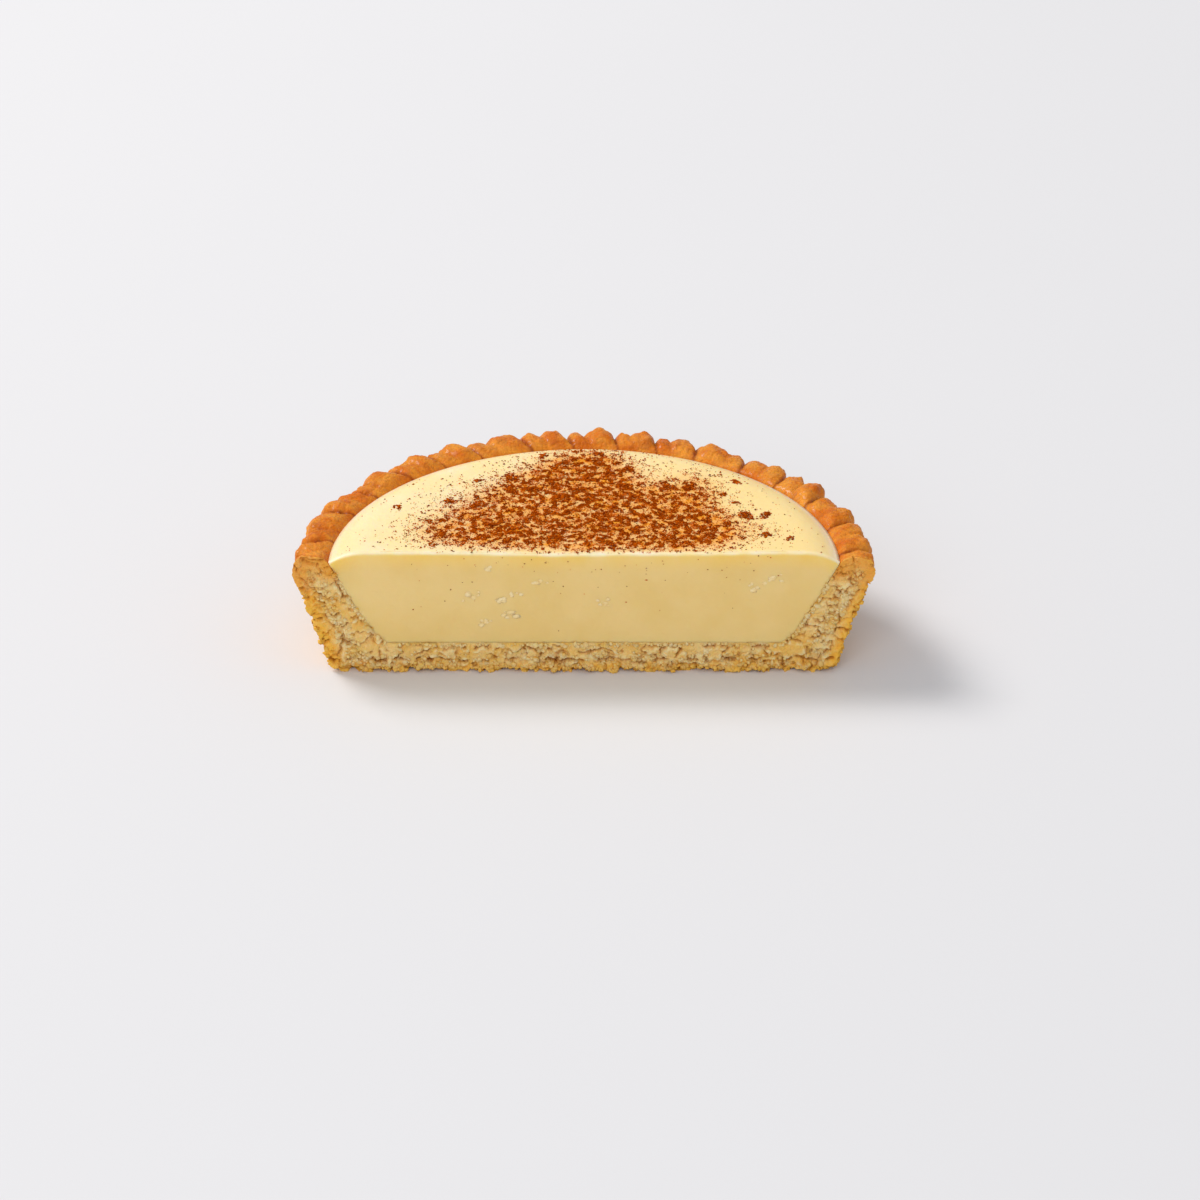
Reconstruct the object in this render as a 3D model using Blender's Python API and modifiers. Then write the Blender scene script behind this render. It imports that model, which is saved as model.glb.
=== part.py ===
"""Half of a round custard tart with cinnamon on top, cut straight across and standing on its base.

The pastry is turned as a whole round shell, its rim is crimped and its wall fluted, and a knife cut takes the
front half away. The custard is turned to fit inside, cut on the same plane, and its clumps of cinnamon are
fused to it. Metres, +Z up. The cut faces -Y. The origin is on the ground, under the middle of the half tart.
"""

import math
import random

import bmesh
import bpy
from mathutils import Matrix, Vector, noise

MM = 0.001

# Driving dimensions of the tart
RIM_RADIUS = 49.5 * MM
FOOT_RADIUS = 41.3 * MM
FOOT_ROUND = 2.4 * MM
RIM_TOP = 22.0 * MM
LIP_WIDTH = 6.2 * MM
LIP_HEIGHT = 5.2 * MM
LIP_SQUARENESS = 2.5
WALL_BOW = 0.25 * MM
BASE_THICKNESS = 5.6 * MM
FLOOR_RADIUS = 33.7 * MM
INNER_BEND = (2.0 * MM, 1.5 * MM)
INNER_MIDDLE = (39.3 * MM, 12.9 * MM)
CUSTARD_EDGE_RADIUS = 43.4 * MM
CUSTARD_EDGE_HEIGHT = 21.1 * MM
CUSTARD_TOP = 23.0 * MM
CUSTARD_SAG = 0.35 * MM
SHOULDER_WIDTH = 6.5 * MM
SHOULDER_ROUNDNESS = 2.4
FIT_GAP = 0.3 * MM

# The cut runs this far behind the tart's middle, so that the piece is a little under half
CUT_BEHIND = 0.8 * MM

# The crimped edge: flutes round the whole tart, each pinched into a large lump and a small one
FLUTES = 33
STEPS_PER_FLUTE = 7
FLUTE_WIDTH_VARIES = 0.25
FIRST_NOTCH = math.radians(6.7)
LARGE_LUMP_SHARE = (0.5, 0.66)
SMALL_LUMP_FIRST = 0.35
LARGE_CREST = (0.85, 1.1)
SMALL_CREST = (0.65, 0.9)
DIP_BETWEEN = (0.35, 0.6)
LUMP_FULLNESS = 0.62
CRIMP_MEAN = 0.64
CRIMP_DEPTH = 2.0 * MM
CRIMP_HEIGHT = 1.2 * MM
FLUTE_SHARE_AT_FOOT = 0.35
CREASE_SLANT = math.radians(2.2)
CRIMP_BEND = 2.6 * MM

# Uneven surfaces
WALL_WAVE = 0.3 * MM
WALL_WAVE_SIZE = 7.0 * MM
CUSTARD_WAVE = 0.14 * MM
CUSTARD_WAVE_SIZE = 14.0 * MM

# The broken crumb of the cut pastry
CRUMB_GRID = 1.0 * MM
CRUMB_SIZE = 2.7 * MM
CREVICE_WIDTH = 0.32
CREVICE_DEPTH = 0.55 * MM
CRUMB_STEP = 0.32 * MM
CRUMB_GRAIN = 0.12 * MM
LOOSE_CRUMBS = 42
CRUMB_RADIUS = (0.55 * MM, 1.15 * MM)
CRUMB_OVAL = (0.75, 1.1)
CRUMB_REACH = 1.25 * MM
CRUMB_HEIGHT = 1.3 * MM
SIDE_FOOT = (38.5 * MM, 3.0 * MM)
SIDE_RISE = (8.0 * MM, 16.5 * MM)
GROUND_CLEARANCE = 0.06 * MM
PEBBLE_UNEVEN = (0.78, 1.12)

# Cinnamon clumps on the custard
CLUMPS = 68
CLUMP_RADIUS = (0.55 * MM, 1.5 * MM)
CLUMP_OVAL = (0.55, 0.9)
CLUMP_THICKNESS = (0.29 * MM, 0.47 * MM)
CLUMP_SUNK = 0.05 * MM
CLUMP_SPACING = 1.3
CLUMP_LIMIT_RADIUS = 40.0 * MM
CLUMP_EDGE_CLEARANCE = 1.4 * MM
TRIES_PER_CLUMP = 60

# The blocks that cut the front half away
BLOCK_WIDTH = 112 * MM
BLOCK_HEIGHT = 32 * MM
BLOCK_BELOW = 5 * MM
BLOCK_DEPTH = 60 * MM
KNIFE_COLUMNS = 28
EDGE_ROWS = 3
CUT_EDGE_ROUND = 0.6 * MM

CUSTARD_STEPS = 90
MERGE = 0.00001
CRIMP_SEED = 99350
CINNAMON_SEED = 8
SHARP_ANGLE = math.radians(40)

# The tart's own axis, set so that the half tart is centred over the origin
AXIS = (0.2 * MM, -24.95 * MM)

# Where the cinnamon fell, from the tart's axis: (x, y, spread in x, spread in y, share), in millimetres
CINNAMON_DRIFTS = (
    (0, 33, 6, 5, 0.9),
    (-6, 26, 8, 4, 0.7),
    (1, 20, 8, 7, 1.0),
    (-17, 17, 7, 5, 0.6),
    (-20, 8, 7, 4, 0.8),
    (-3, 9, 8, 5, 1.0),
    (10, 13, 8, 6, 0.9),
    (19, 24, 4, 5, 0.6),
    (18, 9, 8, 5, 0.9),
)


# Small tools


def clear_scene():
    """Empties the scene of its objects."""
    for obj in list(bpy.data.objects):
        bpy.data.objects.remove(obj)


def new_collection(name):
    """A collection in the scene."""
    made = bpy.data.collections.new(name)
    bpy.context.scene.collection.children.link(made)
    return made


def new_material(name, colour, roughness):
    """A plain Principled material."""
    made = bpy.data.materials.new(name)
    made.use_nodes = True
    shader = made.node_tree.nodes["Principled BSDF"]
    shader.inputs["Base Color"].default_value = (*colour, 1.0)
    shader.inputs["Roughness"].default_value = roughness
    shader.inputs["Metallic"].default_value = 0.0
    made.diffuse_color = (*colour, 1.0)
    return made


def new_object(name, bm, collection, material):
    """Turns a bmesh into an object of the collection."""
    mesh = bpy.data.meshes.new(name)
    bm.to_mesh(mesh)
    bm.free()
    mesh.materials.append(material)
    made = bpy.data.objects.new(name, mesh)
    collection.objects.link(made)
    return made


def apply_modifiers(obj):
    """Makes the object's modifiers part of its mesh."""
    graph = bpy.context.evaluated_depsgraph_get()
    mesh = bpy.data.meshes.new_from_object(obj.evaluated_get(graph))
    obj.modifiers.clear()
    obj.data = mesh


def arc(centre, radii, start, end, steps, squareness=2.0):
    """Points of an oval arc between two angles in degrees, squarer than an ellipse above squareness 2."""
    points = []
    for i in range(steps + 1):
        angle = math.radians(start + (end - start) * i / steps)
        across, up = math.cos(angle), math.sin(angle)
        across = math.copysign(abs(across) ** (2 / squareness), across)
        up = math.copysign(abs(up) ** (2 / squareness), up)
        points.append((centre[0] + radii[0] * across, centre[1] + radii[1] * up))
    return points


def turned(name, profile, steps, collection, material):
    """Turns (radius, height) points once round the Z axis, and closes the middle with flat faces."""
    bm = bmesh.new()
    corners = [bm.verts.new((radius, 0.0, height)) for radius, height in profile]
    for one, other in zip(corners, corners[1:]):
        bm.edges.new((one, other))
    made = new_object(name, bm, collection, material)
    screw = made.modifiers.new("Turn", "SCREW")
    screw.axis = "Z"
    screw.angle = math.tau
    screw.steps = screw.render_steps = steps
    screw.use_merge_vertices = True
    screw.merge_threshold = MERGE
    screw.use_smooth_shade = False
    apply_modifiers(made)
    bm = bmesh.new()
    bm.from_mesh(made.data)
    bmesh.ops.remove_doubles(bm, verts=bm.verts, dist=MERGE)
    open_edges = [edge for edge in bm.edges if edge.is_boundary]
    bmesh.ops.holes_fill(bm, edges=open_edges, sides=0)
    bmesh.ops.recalc_face_normals(bm, faces=bm.faces)
    bm.to_mesh(made.data)
    bm.free()
    return made


def connected_faces(bm):
    """The faces of a bmesh in groups joined by edges, the largest group last."""
    groups = []
    left = set(bm.faces)
    while left:
        group = [left.pop()]
        for face in group:
            near = {other for edge in face.edges for other in edge.link_faces} & left
            left -= near
            group.extend(near)
        groups.append(group)
    return sorted(groups, key=len)


def split_to_triangles(obj):
    """Makes every face flat, so that a Boolean cuts what it shows."""
    bm = bmesh.new()
    bm.from_mesh(obj.data)
    bmesh.ops.triangulate(bm, faces=bm.faces)
    bm.to_mesh(obj.data)
    bm.free()


def clean_up(obj):
    """Welds the slivers that a Boolean leaves, and drops loose scraps."""
    bm = bmesh.new()
    bm.from_mesh(obj.data)
    bmesh.ops.triangulate(bm, faces=bm.faces)
    bmesh.ops.remove_doubles(bm, verts=bm.verts, dist=MERGE)
    for scrap in connected_faces(bm)[:-1]:
        bmesh.ops.delete(bm, geom=scrap, context="FACES")
    bm.to_mesh(obj.data)
    bm.free()


def cut_away(obj, cutter):
    """Cuts the cutter's form out of the object for good."""
    split_to_triangles(obj)
    split_to_triangles(cutter)
    boolean = obj.modifiers.new("Cut", "BOOLEAN")
    boolean.operation = "DIFFERENCE"
    boolean.solver = "EXACT"
    boolean.object = cutter
    apply_modifiers(obj)
    bpy.data.objects.remove(cutter)
    clean_up(obj)


def fuse(obj, collection):
    """Fuses a collection's objects to the object for good, and removes the collection."""
    boolean = obj.modifiers.new("Fuse", "BOOLEAN")
    boolean.operation = "UNION"
    boolean.solver = "EXACT"
    boolean.operand_type = "COLLECTION"
    boolean.collection = collection
    apply_modifiers(obj)
    for used in list(collection.objects):
        bpy.data.objects.remove(used)
    bpy.data.collections.remove(collection)
    clean_up(obj)


def smooth_step(value, low, high):
    """0 below low, 1 above high, and smooth between."""
    share = min(max((value - low) / (high - low), 0.0), 1.0)
    return share * share * (3 - 2 * share)


# Pastry shell


def pastry_profile():
    """The shell's section from the floor's edge up the inside, over the lip and down to the foot."""
    lip_centre = (RIM_RADIUS - LIP_WIDTH / 2, RIM_TOP - LIP_HEIGHT / 2)
    lip = arc(lip_centre, (LIP_WIDTH / 2, LIP_HEIGHT / 2), 150, -32, 9, LIP_SQUARENESS)
    foot = arc((FOOT_RADIUS, FOOT_ROUND), (FOOT_ROUND, FOOT_ROUND), -8, -90, 3)
    inner_bend = (FLOOR_RADIUS + INNER_BEND[0], BASE_THICKNESS + INNER_BEND[1])
    wall_top, wall_foot = lip[-1], foot[0]
    wall = []
    for share in (0.25, 0.5, 0.75):
        radius, height = (wall_top[k] + (wall_foot[k] - wall_top[k]) * share for k in (0, 1))
        wall.append((radius - WALL_BOW * 4 * share * (1 - share), height))
    floor_edge = (FLOOR_RADIUS, BASE_THICKNESS)
    return [floor_edge, inner_bend, INNER_MIDDLE, *lip, *wall, *foot]


def crimp_lumps(random_draw):
    """The lumps of the rim as (start, end, crest, notch at start, notch at end), by angle round the tart."""
    widths = [1 + FLUTE_WIDTH_VARIES * random_draw.uniform(-1, 1) for _ in range(FLUTES)]
    start = FIRST_NOTCH
    lumps = []
    for width in widths:
        end = start + math.tau * width / sum(widths)
        share = random_draw.uniform(*LARGE_LUMP_SHARE)
        small_first = random_draw.random() < SMALL_LUMP_FIRST
        middle = start + (end - start) * (1 - share if small_first else share)
        dip = random_draw.uniform(*DIP_BETWEEN)
        crests = [random_draw.uniform(*LARGE_CREST), random_draw.uniform(*SMALL_CREST)]
        if small_first:
            crests.reverse()
        lumps.append((start, middle, crests[0], 0.0, dip))
        lumps.append((middle, end, crests[1], dip, 0.0))
        start = end
    return lumps


def crimp_at(lumps, angle):
    """How far out the crimped edge stands at an angle, from 0 in a notch to about 1 on a crest."""
    turn = angle
    while turn < lumps[0][0]:
        turn += math.tau
    while turn >= lumps[-1][1]:
        turn -= math.tau
    for start, end, crest, low_start, low_end in lumps:
        if start <= turn < end:
            share = (turn - start) / (end - start)
            low = low_start + (low_end - low_start) * share
            return low + (crest - low) * (4 * share * (1 - share)) ** LUMP_FULLNESS
    return 0.0


def crimp_and_flute(shell, lumps):
    """Pushes the lip into lumps and the wall into flutes, and makes both uneven.

    The floor and the foot's flat stay as turned. The wall's inner side moves only where it bends into the lip.
    """
    lip_middle = RIM_RADIUS - LIP_WIDTH / 2
    lip_low = RIM_TOP - LIP_HEIGHT / 2
    wall_slope = (RIM_RADIUS - FOOT_RADIUS) / RIM_TOP
    for vertex in shell.data.vertices:
        x, y, z = vertex.co
        radius = math.hypot(x, y)
        if radius < FLOOR_RADIUS + MM or z < MERGE:
            continue
        inward = (RIM_RADIUS - radius) / LIP_WIDTH
        crimp = crimp_at(lumps, math.atan2(y, x) + CREASE_SLANT * inward) - CRIMP_MEAN
        wave = WALL_WAVE * noise.noise(Vector((x, y, z)) / WALL_WAVE_SIZE)
        on_lip = smooth_step(z, lip_low - LIP_HEIGHT / 3, lip_low)
        on_wall = smooth_step(radius - FOOT_RADIUS - z * wall_slope, -2.0 * MM, -0.5 * MM)
        outside = max(on_wall, on_lip * smooth_step(radius, lip_middle - MM, lip_middle + CRIMP_BEND))
        fade = FLUTE_SHARE_AT_FOOT + (1 - FLUTE_SHARE_AT_FOOT) * smooth_step(z, 0, lip_low)
        moved = radius + outside * (crimp * CRIMP_DEPTH * fade + wave)
        on_top = on_lip * smooth_step(radius, lip_middle - CRIMP_BEND, lip_middle - MM / 2)
        vertex.co = (x * moved / radius, y * moved / radius, z + on_top * (crimp * CRIMP_HEIGHT + wave))


def crumb_height(x, z):
    """How far the broken crumb stands out of the cut at a place on it."""
    place = Vector((x, 0.0, z)) / CRUMB_SIZE
    aside = place * 2 + Vector((0.0, 9.0, 0.0))
    place += Vector((noise.noise(place * 2), 0.0, noise.noise(aside))) / 4
    distances, points = noise.voronoi(place)
    crevice = 1 - smooth_step(distances[1] - distances[0], 0.0, CREVICE_WIDTH)
    step = noise.cell(points[0] * 7) - 0.5
    return CRUMB_STEP * step - CREVICE_DEPTH * crevice + CRUMB_GRAIN * noise.noise(place * 3)


def front_block(name, columns, rows, place, collection, material):
    """A block over the front half of the tart, its back face a grid put in place by a function.

    The function takes a share across, from -0.5 to 0.5, and a row from 0 at the bottom, and gives a point.
    """
    bm = bmesh.new()
    bmesh.ops.create_grid(bm, x_segments=columns, y_segments=rows, size=0.5)
    for vertex in bm.verts:
        x, y, z = place(vertex.co.x, round((vertex.co.y + 0.5) * rows))
        vertex.co = (x, y + CUT_BEHIND, z)
    front = bmesh.ops.extrude_face_region(bm, geom=bm.faces[:])
    for vertex in front["geom"]:
        if isinstance(vertex, bmesh.types.BMVert):
            vertex.co.y = -BLOCK_DEPTH
    bmesh.ops.recalc_face_normals(bm, faces=bm.faces)
    return new_object(name, bm, collection, material)


def crumb_place(across, row):
    """A place on the broken cut of the pastry."""
    x = across * BLOCK_WIDTH
    z = row * CRUMB_GRID - BLOCK_BELOW
    return x, -crumb_height(x, z), z


def knife_place(across, row):
    """A place on the knife cut of the custard, which curves back over the rounded top edge."""
    x = across * BLOCK_WIDTH
    top = custard_height(abs(x))
    if row == 0:
        return x, 0.0, -BLOCK_BELOW
    if row > EDGE_ROWS + 1:
        return x, CUT_EDGE_ROUND + BLOCK_BELOW / 10, top + BLOCK_BELOW
    turn = math.pi / 2 * (row - 1) / EDGE_ROWS
    return x, CUT_EDGE_ROUND * (1 - math.cos(turn)), top - CUT_EDGE_ROUND * (1 - math.sin(turn))


def lump(bm, centre, radii, random_draw, turn):
    """Adds an uneven pebble with few sides to a bmesh."""
    made = bmesh.ops.create_icosphere(bm, subdivisions=1, radius=1.0)["verts"]
    for vertex in made:
        vertex.co *= random_draw.uniform(*PEBBLE_UNEVEN)
        x, y, z = (vertex.co[k] * radii[k] for k in range(3))
        vertex.co = (
            centre[0] + x * math.cos(turn) - y * math.sin(turn),
            centre[1] + x * math.sin(turn) + y * math.cos(turn),
            centre[2] + z,
        )
    return made


def section_place(share):
    """A place along the middle of the pastry's section, from the left lip across the base to the right lip."""
    side_length = SIDE_RISE[1] + SIDE_FOOT[1]
    base_length = 2 * FOOT_RADIUS
    along = share * (2 * side_length + base_length)
    from_base = max(side_length - along, along - side_length - base_length)
    if from_base < 0:
        return along - side_length - FOOT_RADIUS, CRUMB_HEIGHT
    up = from_base / side_length
    side = -1 if along < side_length else 1
    return side * (SIDE_FOOT[0] + SIDE_RISE[0] * up), SIDE_FOOT[1] + SIDE_RISE[1] * up


def add_crumbs(shell, material, random_draw):
    """Fuses small crumbs to the cut, most of them along the base's lower edge."""
    crumbs = new_collection("crumbs")
    for k in range(LOOSE_CRUMBS):
        x, z = section_place((k + random_draw.uniform(0.2, 0.8)) / LOOSE_CRUMBS)
        size = random_draw.uniform(*CRUMB_RADIUS)
        z += random_draw.uniform(-0.25, 0.9) * MM
        y = CUT_BEHIND - crumb_height(x, z) - random_draw.uniform(-0.3, 0.25) * MM
        bm = bmesh.new()
        radii = [size * random_draw.uniform(*CRUMB_OVAL) for _ in range(3)]
        made = lump(bm, (x, y, z), radii, random_draw, k)
        for vertex in made:
            vertex.co.z = max(vertex.co.z, GROUND_CLEARANCE)
            vertex.co.y = max(vertex.co.y, CUT_BEHIND - CRUMB_REACH)
        new_object(f"crumb_{k}", bm, crumbs, material)
    fuse(shell, crumbs)


def make_pastry_shell(collection, cutters, shortcrust):
    """The whole shell, crimped, then cut in half with a crumbly break."""
    random_draw = random.Random(CRIMP_SEED)
    shell = turned("pastry_shell", pastry_profile(), FLUTES * STEPS_PER_FLUTE, collection, shortcrust)
    crimp_and_flute(shell, crimp_lumps(random_draw))
    columns = round(BLOCK_WIDTH / CRUMB_GRID)
    rows = round(BLOCK_HEIGHT / CRUMB_GRID)
    knife = front_block("pastry_knife", columns, rows, crumb_place, cutters, shortcrust)
    cut_away(shell, knife)
    add_crumbs(shell, shortcrust, random_draw)
    return shell


# Custard filling


def custard_height(radius):
    """The height of the custard's top, a shoulder up from the edge and then nearly flat."""
    inward = min(max((CUSTARD_EDGE_RADIUS - radius) / SHOULDER_WIDTH, 0.0), 1.0)
    shoulder = (1 - (1 - inward) ** SHOULDER_ROUNDNESS) * (CUSTARD_TOP - CUSTARD_EDGE_HEIGHT)
    middle = smooth_step(CUSTARD_EDGE_RADIUS - radius, SHOULDER_WIDTH, CUSTARD_EDGE_RADIUS)
    return CUSTARD_EDGE_HEIGHT + shoulder - CUSTARD_SAG * middle


def custard_profile():
    """The custard's section from the middle of its top out to the edge and down the inside of the shell."""
    inward = [SHOULDER_WIDTH * share for share in (0.1, 0.25, 0.5, 0.75, 1.0)]
    flat_radius = CUSTARD_EDGE_RADIUS - SHOULDER_WIDTH
    radii = [flat_radius * share for share in (0.0, 0.22, 0.44, 0.65, 0.84)]
    radii += [CUSTARD_EDGE_RADIUS - width for width in reversed(inward)]
    top = [(radius, custard_height(radius)) for radius in radii]
    side = [
        (CUSTARD_EDGE_RADIUS - FIT_GAP, CUSTARD_EDGE_HEIGHT),
        (INNER_MIDDLE[0] - 1.15 * FIT_GAP, INNER_MIDDLE[1]),
        (FLOOR_RADIUS + INNER_BEND[0] - 1.15 * FIT_GAP, BASE_THICKNESS + INNER_BEND[1] + 0.3 * FIT_GAP),
        (FLOOR_RADIUS - 0.3 * FIT_GAP, BASE_THICKNESS + FIT_GAP),
    ]
    return [*top, *side]


def custard_ripple(x, y):
    """The faint waves of the custard's top, none at its edge."""
    inside = smooth_step(CUSTARD_EDGE_RADIUS - math.hypot(x, y), 0.6 * MM, 3 * MM)
    return inside * CUSTARD_WAVE * noise.noise(Vector((x, y, 0.0)) / CUSTARD_WAVE_SIZE)


def ripple_top(custard):
    """Gives the custard's top its waves."""
    for vertex in custard.data.vertices:
        if vertex.co.z > CUSTARD_EDGE_HEIGHT - MERGE:
            vertex.co.z += custard_ripple(vertex.co.x, vertex.co.y)


def cinnamon_share(x, y):
    """How thickly the cinnamon lies at a place, from 0 to about 1, from the tart's axis."""
    total = 0.0
    for drift_x, drift_y, spread_x, spread_y, share in CINNAMON_DRIFTS:
        across = (x / MM - drift_x) / spread_x
        along = (y / MM - drift_y) / spread_y
        total += share * math.exp(-0.5 * (across * across + along * along))
    return min(total, 1.0)


def add_cinnamon(custard, material, random_draw):
    """Fuses the larger cinnamon clumps to the top, the largest first, each clear of the others."""
    clumps = new_collection("clumps")
    placed = []
    tries = 0
    while len(placed) < CLUMPS and tries < TRIES_PER_CLUMP * CLUMPS:
        tries += 1
        share = len(placed) / CLUMPS
        size = CLUMP_RADIUS[1] + (CLUMP_RADIUS[0] - CLUMP_RADIUS[1]) * share**0.6
        x = random_draw.uniform(-CLUMP_LIMIT_RADIUS, CLUMP_LIMIT_RADIUS)
        y = random_draw.uniform(CUT_BEHIND + CLUMP_EDGE_CLEARANCE + size, CLUMP_LIMIT_RADIUS)
        if math.hypot(x, y) + size > CLUMP_LIMIT_RADIUS:
            continue
        if random_draw.random() > cinnamon_share(x, y):
            continue
        if any(math.hypot(x - a, y - b) < CLUMP_SPACING * (size + c) for a, b, c in placed):
            continue
        placed.append((x, y, size))
        bm = bmesh.new()
        radii = (size, size * random_draw.uniform(*CLUMP_OVAL), random_draw.uniform(*CLUMP_THICKNESS))
        height = custard_height(math.hypot(x, y)) + custard_ripple(x, y) - CLUMP_SUNK
        lump(bm, (x, y, height), radii, random_draw, random_draw.uniform(0, math.pi))
        new_object(f"clump_{len(placed)}", bm, clumps, material)
    fuse(custard, clumps)


def make_custard_filling(collection, cutters, material):
    """The filling, cut in half, with its cinnamon."""
    random_draw = random.Random(CINNAMON_SEED)
    custard = turned("custard_filling", custard_profile(), CUSTARD_STEPS, collection, material)
    ripple_top(custard)
    knife = front_block("custard_knife", KNIFE_COLUMNS, EDGE_ROWS + 2, knife_place, cutters, material)
    cut_away(custard, knife)
    add_cinnamon(custard, material, random_draw)
    return custard


def main():
    """Builds the half tart and stands it over the origin."""
    clear_scene()
    tart = new_collection("custard_tart_half")
    cutters = new_collection("cutters")
    shortcrust = new_material("shortcrust", (0.62, 0.3, 0.08), 0.65)
    custard = new_material("custard", (0.87, 0.64, 0.27), 0.35)
    parts = [
        make_pastry_shell(tart, cutters, shortcrust),
        make_custard_filling(tart, cutters, custard),
    ]
    for part in parts:
        part.data.transform(Matrix.Translation((*AXIS, 0.0)))
        part.data.shade_smooth()
        part.data.set_sharp_from_angle(angle=SHARP_ANGLE)
    bpy.data.collections.remove(cutters)


main()
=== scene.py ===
"""The looks of half a custard tart: crumbly shortcrust, a smooth set custard and a dusting of cinnamon.

Sizes in the classes are in millimetres, measured from the tart's own axis. They are moved into the frame of the
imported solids, in metres, where a mesh is made.
"""

import logging
import math
import random
from collections.abc import Sequence
from dataclasses import dataclass, field
from enum import Enum

import bmesh
import bpy
import numpy as np
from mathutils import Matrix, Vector, noise
from mathutils.bvhtree import BVHTree


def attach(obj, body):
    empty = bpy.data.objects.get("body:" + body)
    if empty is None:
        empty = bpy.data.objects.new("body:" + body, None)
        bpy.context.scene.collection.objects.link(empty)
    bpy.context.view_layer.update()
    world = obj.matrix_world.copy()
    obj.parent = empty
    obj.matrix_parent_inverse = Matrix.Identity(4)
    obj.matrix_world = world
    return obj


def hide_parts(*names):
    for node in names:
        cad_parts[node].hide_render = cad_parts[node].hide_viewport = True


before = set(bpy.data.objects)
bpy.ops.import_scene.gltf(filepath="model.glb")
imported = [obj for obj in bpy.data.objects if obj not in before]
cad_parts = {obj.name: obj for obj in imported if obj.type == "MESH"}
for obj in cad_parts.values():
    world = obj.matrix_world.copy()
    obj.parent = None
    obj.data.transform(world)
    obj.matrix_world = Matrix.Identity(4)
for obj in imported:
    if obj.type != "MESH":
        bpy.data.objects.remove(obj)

MM = 0.001
AXIS = np.array((0.2, -24.95, 0.0))
CUT_BEHIND = 0.8
BLOCK_FRONT = -62.0
INNER_RADII = (33.7, 35.7, 39.3, 43.4)
INNER_HEIGHTS = (5.6, 7.1, 12.9, 21.1)
FLAT = np.array((1, 1, 0))

log = logging.getLogger("tart")

Array = np.ndarray
Triple = tuple[float, float, float]
Colour = Triple
Piece = bpy.types.Object
Material = bpy.types.Material
Tree = bpy.types.NodeTree
Node = bpy.types.Node
Socket = bpy.types.NodeSocket


class Body(Enum):
    """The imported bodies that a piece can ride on."""

    ROOT = "root"


class Slot(Enum):
    """The record's material slots."""

    SHORTCRUST = "shortcrust"
    CUSTARD = "custard"


# Numbers and noise


def linear(*display: int) -> Colour:
    """Turns a display colour, red, green and blue from 0 to 255, into linear light from 0 to 1."""
    shares = (value / 255 for value in display)
    return tuple(s / 12.92 if s <= 0.04045 else ((s + 0.055) / 1.055) ** 2.4 for s in shares)


def smooth_step(value: Array, low: float, high: float) -> Array:
    """Eases numbers.

    Args:
        value: the numbers to ease.
        low: where the rise starts.
        high: where the rise ends.

    Returns:
        Shares: 0 below low, 1 above high, and smooth between.
    """
    share = np.clip((value - low) / (high - low), 0.0, 1.0)
    return share * share * (3 - 2 * share)


def noise_field(points: Array, size: float, octaves: int = 1, lift: float = 0.0) -> Array:
    """Smooth noise at each point.

    Args:
        points: rows of (x, y, z).
        size: the size of the largest lumps.
        octaves: how many layers there are, each half the size of the last and half as strong.
        lift: a shift that gives a different pattern.

    Returns:
        One number a point, mostly between -1 and 1.
    """
    total = np.zeros(len(points))
    for layer in range(octaves):
        scaled = points / (size / 2**layer) + lift + 17.3 * layer
        total += 0.5**layer * np.array([noise.noise(Vector(row)) for row in scaled])
    return total


def cell_field(points: Array, size: float, lift: float = 0.0) -> tuple[Array, Array, Array]:
    """Cells such as those of broken crumb.

    Args:
        points: rows of (x, y, z).
        size: the size of a cell.
        lift: a shift that gives a different pattern.

    Returns:
        The distance from the nearest cell's middle, the distance from its border, and each cell's own number.
    """
    middle, border, own = (np.empty(len(points)) for _ in range(3))
    for k, row in enumerate(points / size + lift):
        distances, corners = noise.voronoi(Vector(row))
        middle[k] = distances[0]
        border[k] = distances[1] - distances[0]
        own[k] = (corners[0].x * 12.9898 + corners[0].y * 78.233 + corners[0].z * 37.719) % 1.0
    return middle, border, own


# Meshes


def mesh_piece(name: str, points: Array, faces: Sequence[Sequence[int]]) -> Piece:
    """Makes an object.

    Args:
        name: the piece's name.
        points: rows of (x, y, z).
        faces: corner numbers of each face.

    Returns:
        The new object, in the scene, shaded smooth.
    """
    mesh = bpy.data.meshes.new(name)
    mesh.from_pydata(((points + AXIS) * MM).tolist(), [], faces)
    mesh.validate()
    mesh.shade_smooth()
    made = bpy.data.objects.new(name, mesh)
    bpy.context.scene.collection.objects.link(made)
    return made


def points_and_normals(piece: Piece) -> tuple[Array, Array]:
    """Reads the piece's mesh.

    Args:
        piece: the object to read.

    Returns:
        Its points, and the outward direction at each.
    """
    points = np.empty(len(piece.data.vertices) * 3)
    piece.data.vertices.foreach_get("co", points)
    normals = np.empty(len(points), dtype=np.float32)
    piece.data.vertex_normals.foreach_get("vector", normals)
    return points.reshape(-1, 3) / MM - AXIS, normals.reshape(-1, 3).astype(float)


def write_masks(piece: Piece, masks: dict[str, Array]) -> None:
    """Keeps numbers at each point, for the piece's material to read.

    Args:
        piece: the object to change.
        masks: one number a point for each mask's name.
    """
    for name, values in masks.items():
        mask = piece.data.attributes.new(name, "FLOAT", "POINT")
        mask.data.foreach_set("value", values.astype(np.float32))


def cut_away(piece: Piece, other: Piece) -> None:
    """Cuts another object out of the piece for good, and removes that object.

    Args:
        piece: the object to change.
        other: the object that cuts it.
    """
    knife = piece.modifiers.new("Knife", "BOOLEAN")
    knife.operation = "DIFFERENCE"
    knife.solver = "MANIFOLD"
    knife.object = other
    mesh = bpy.data.meshes.new_from_object(piece.evaluated_get(bpy.context.evaluated_depsgraph_get()))
    piece.modifiers.clear()
    old = piece.data
    piece.data = mesh
    bpy.data.meshes.remove(old)
    bpy.data.objects.remove(other)
    piece.data.shade_smooth()


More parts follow.
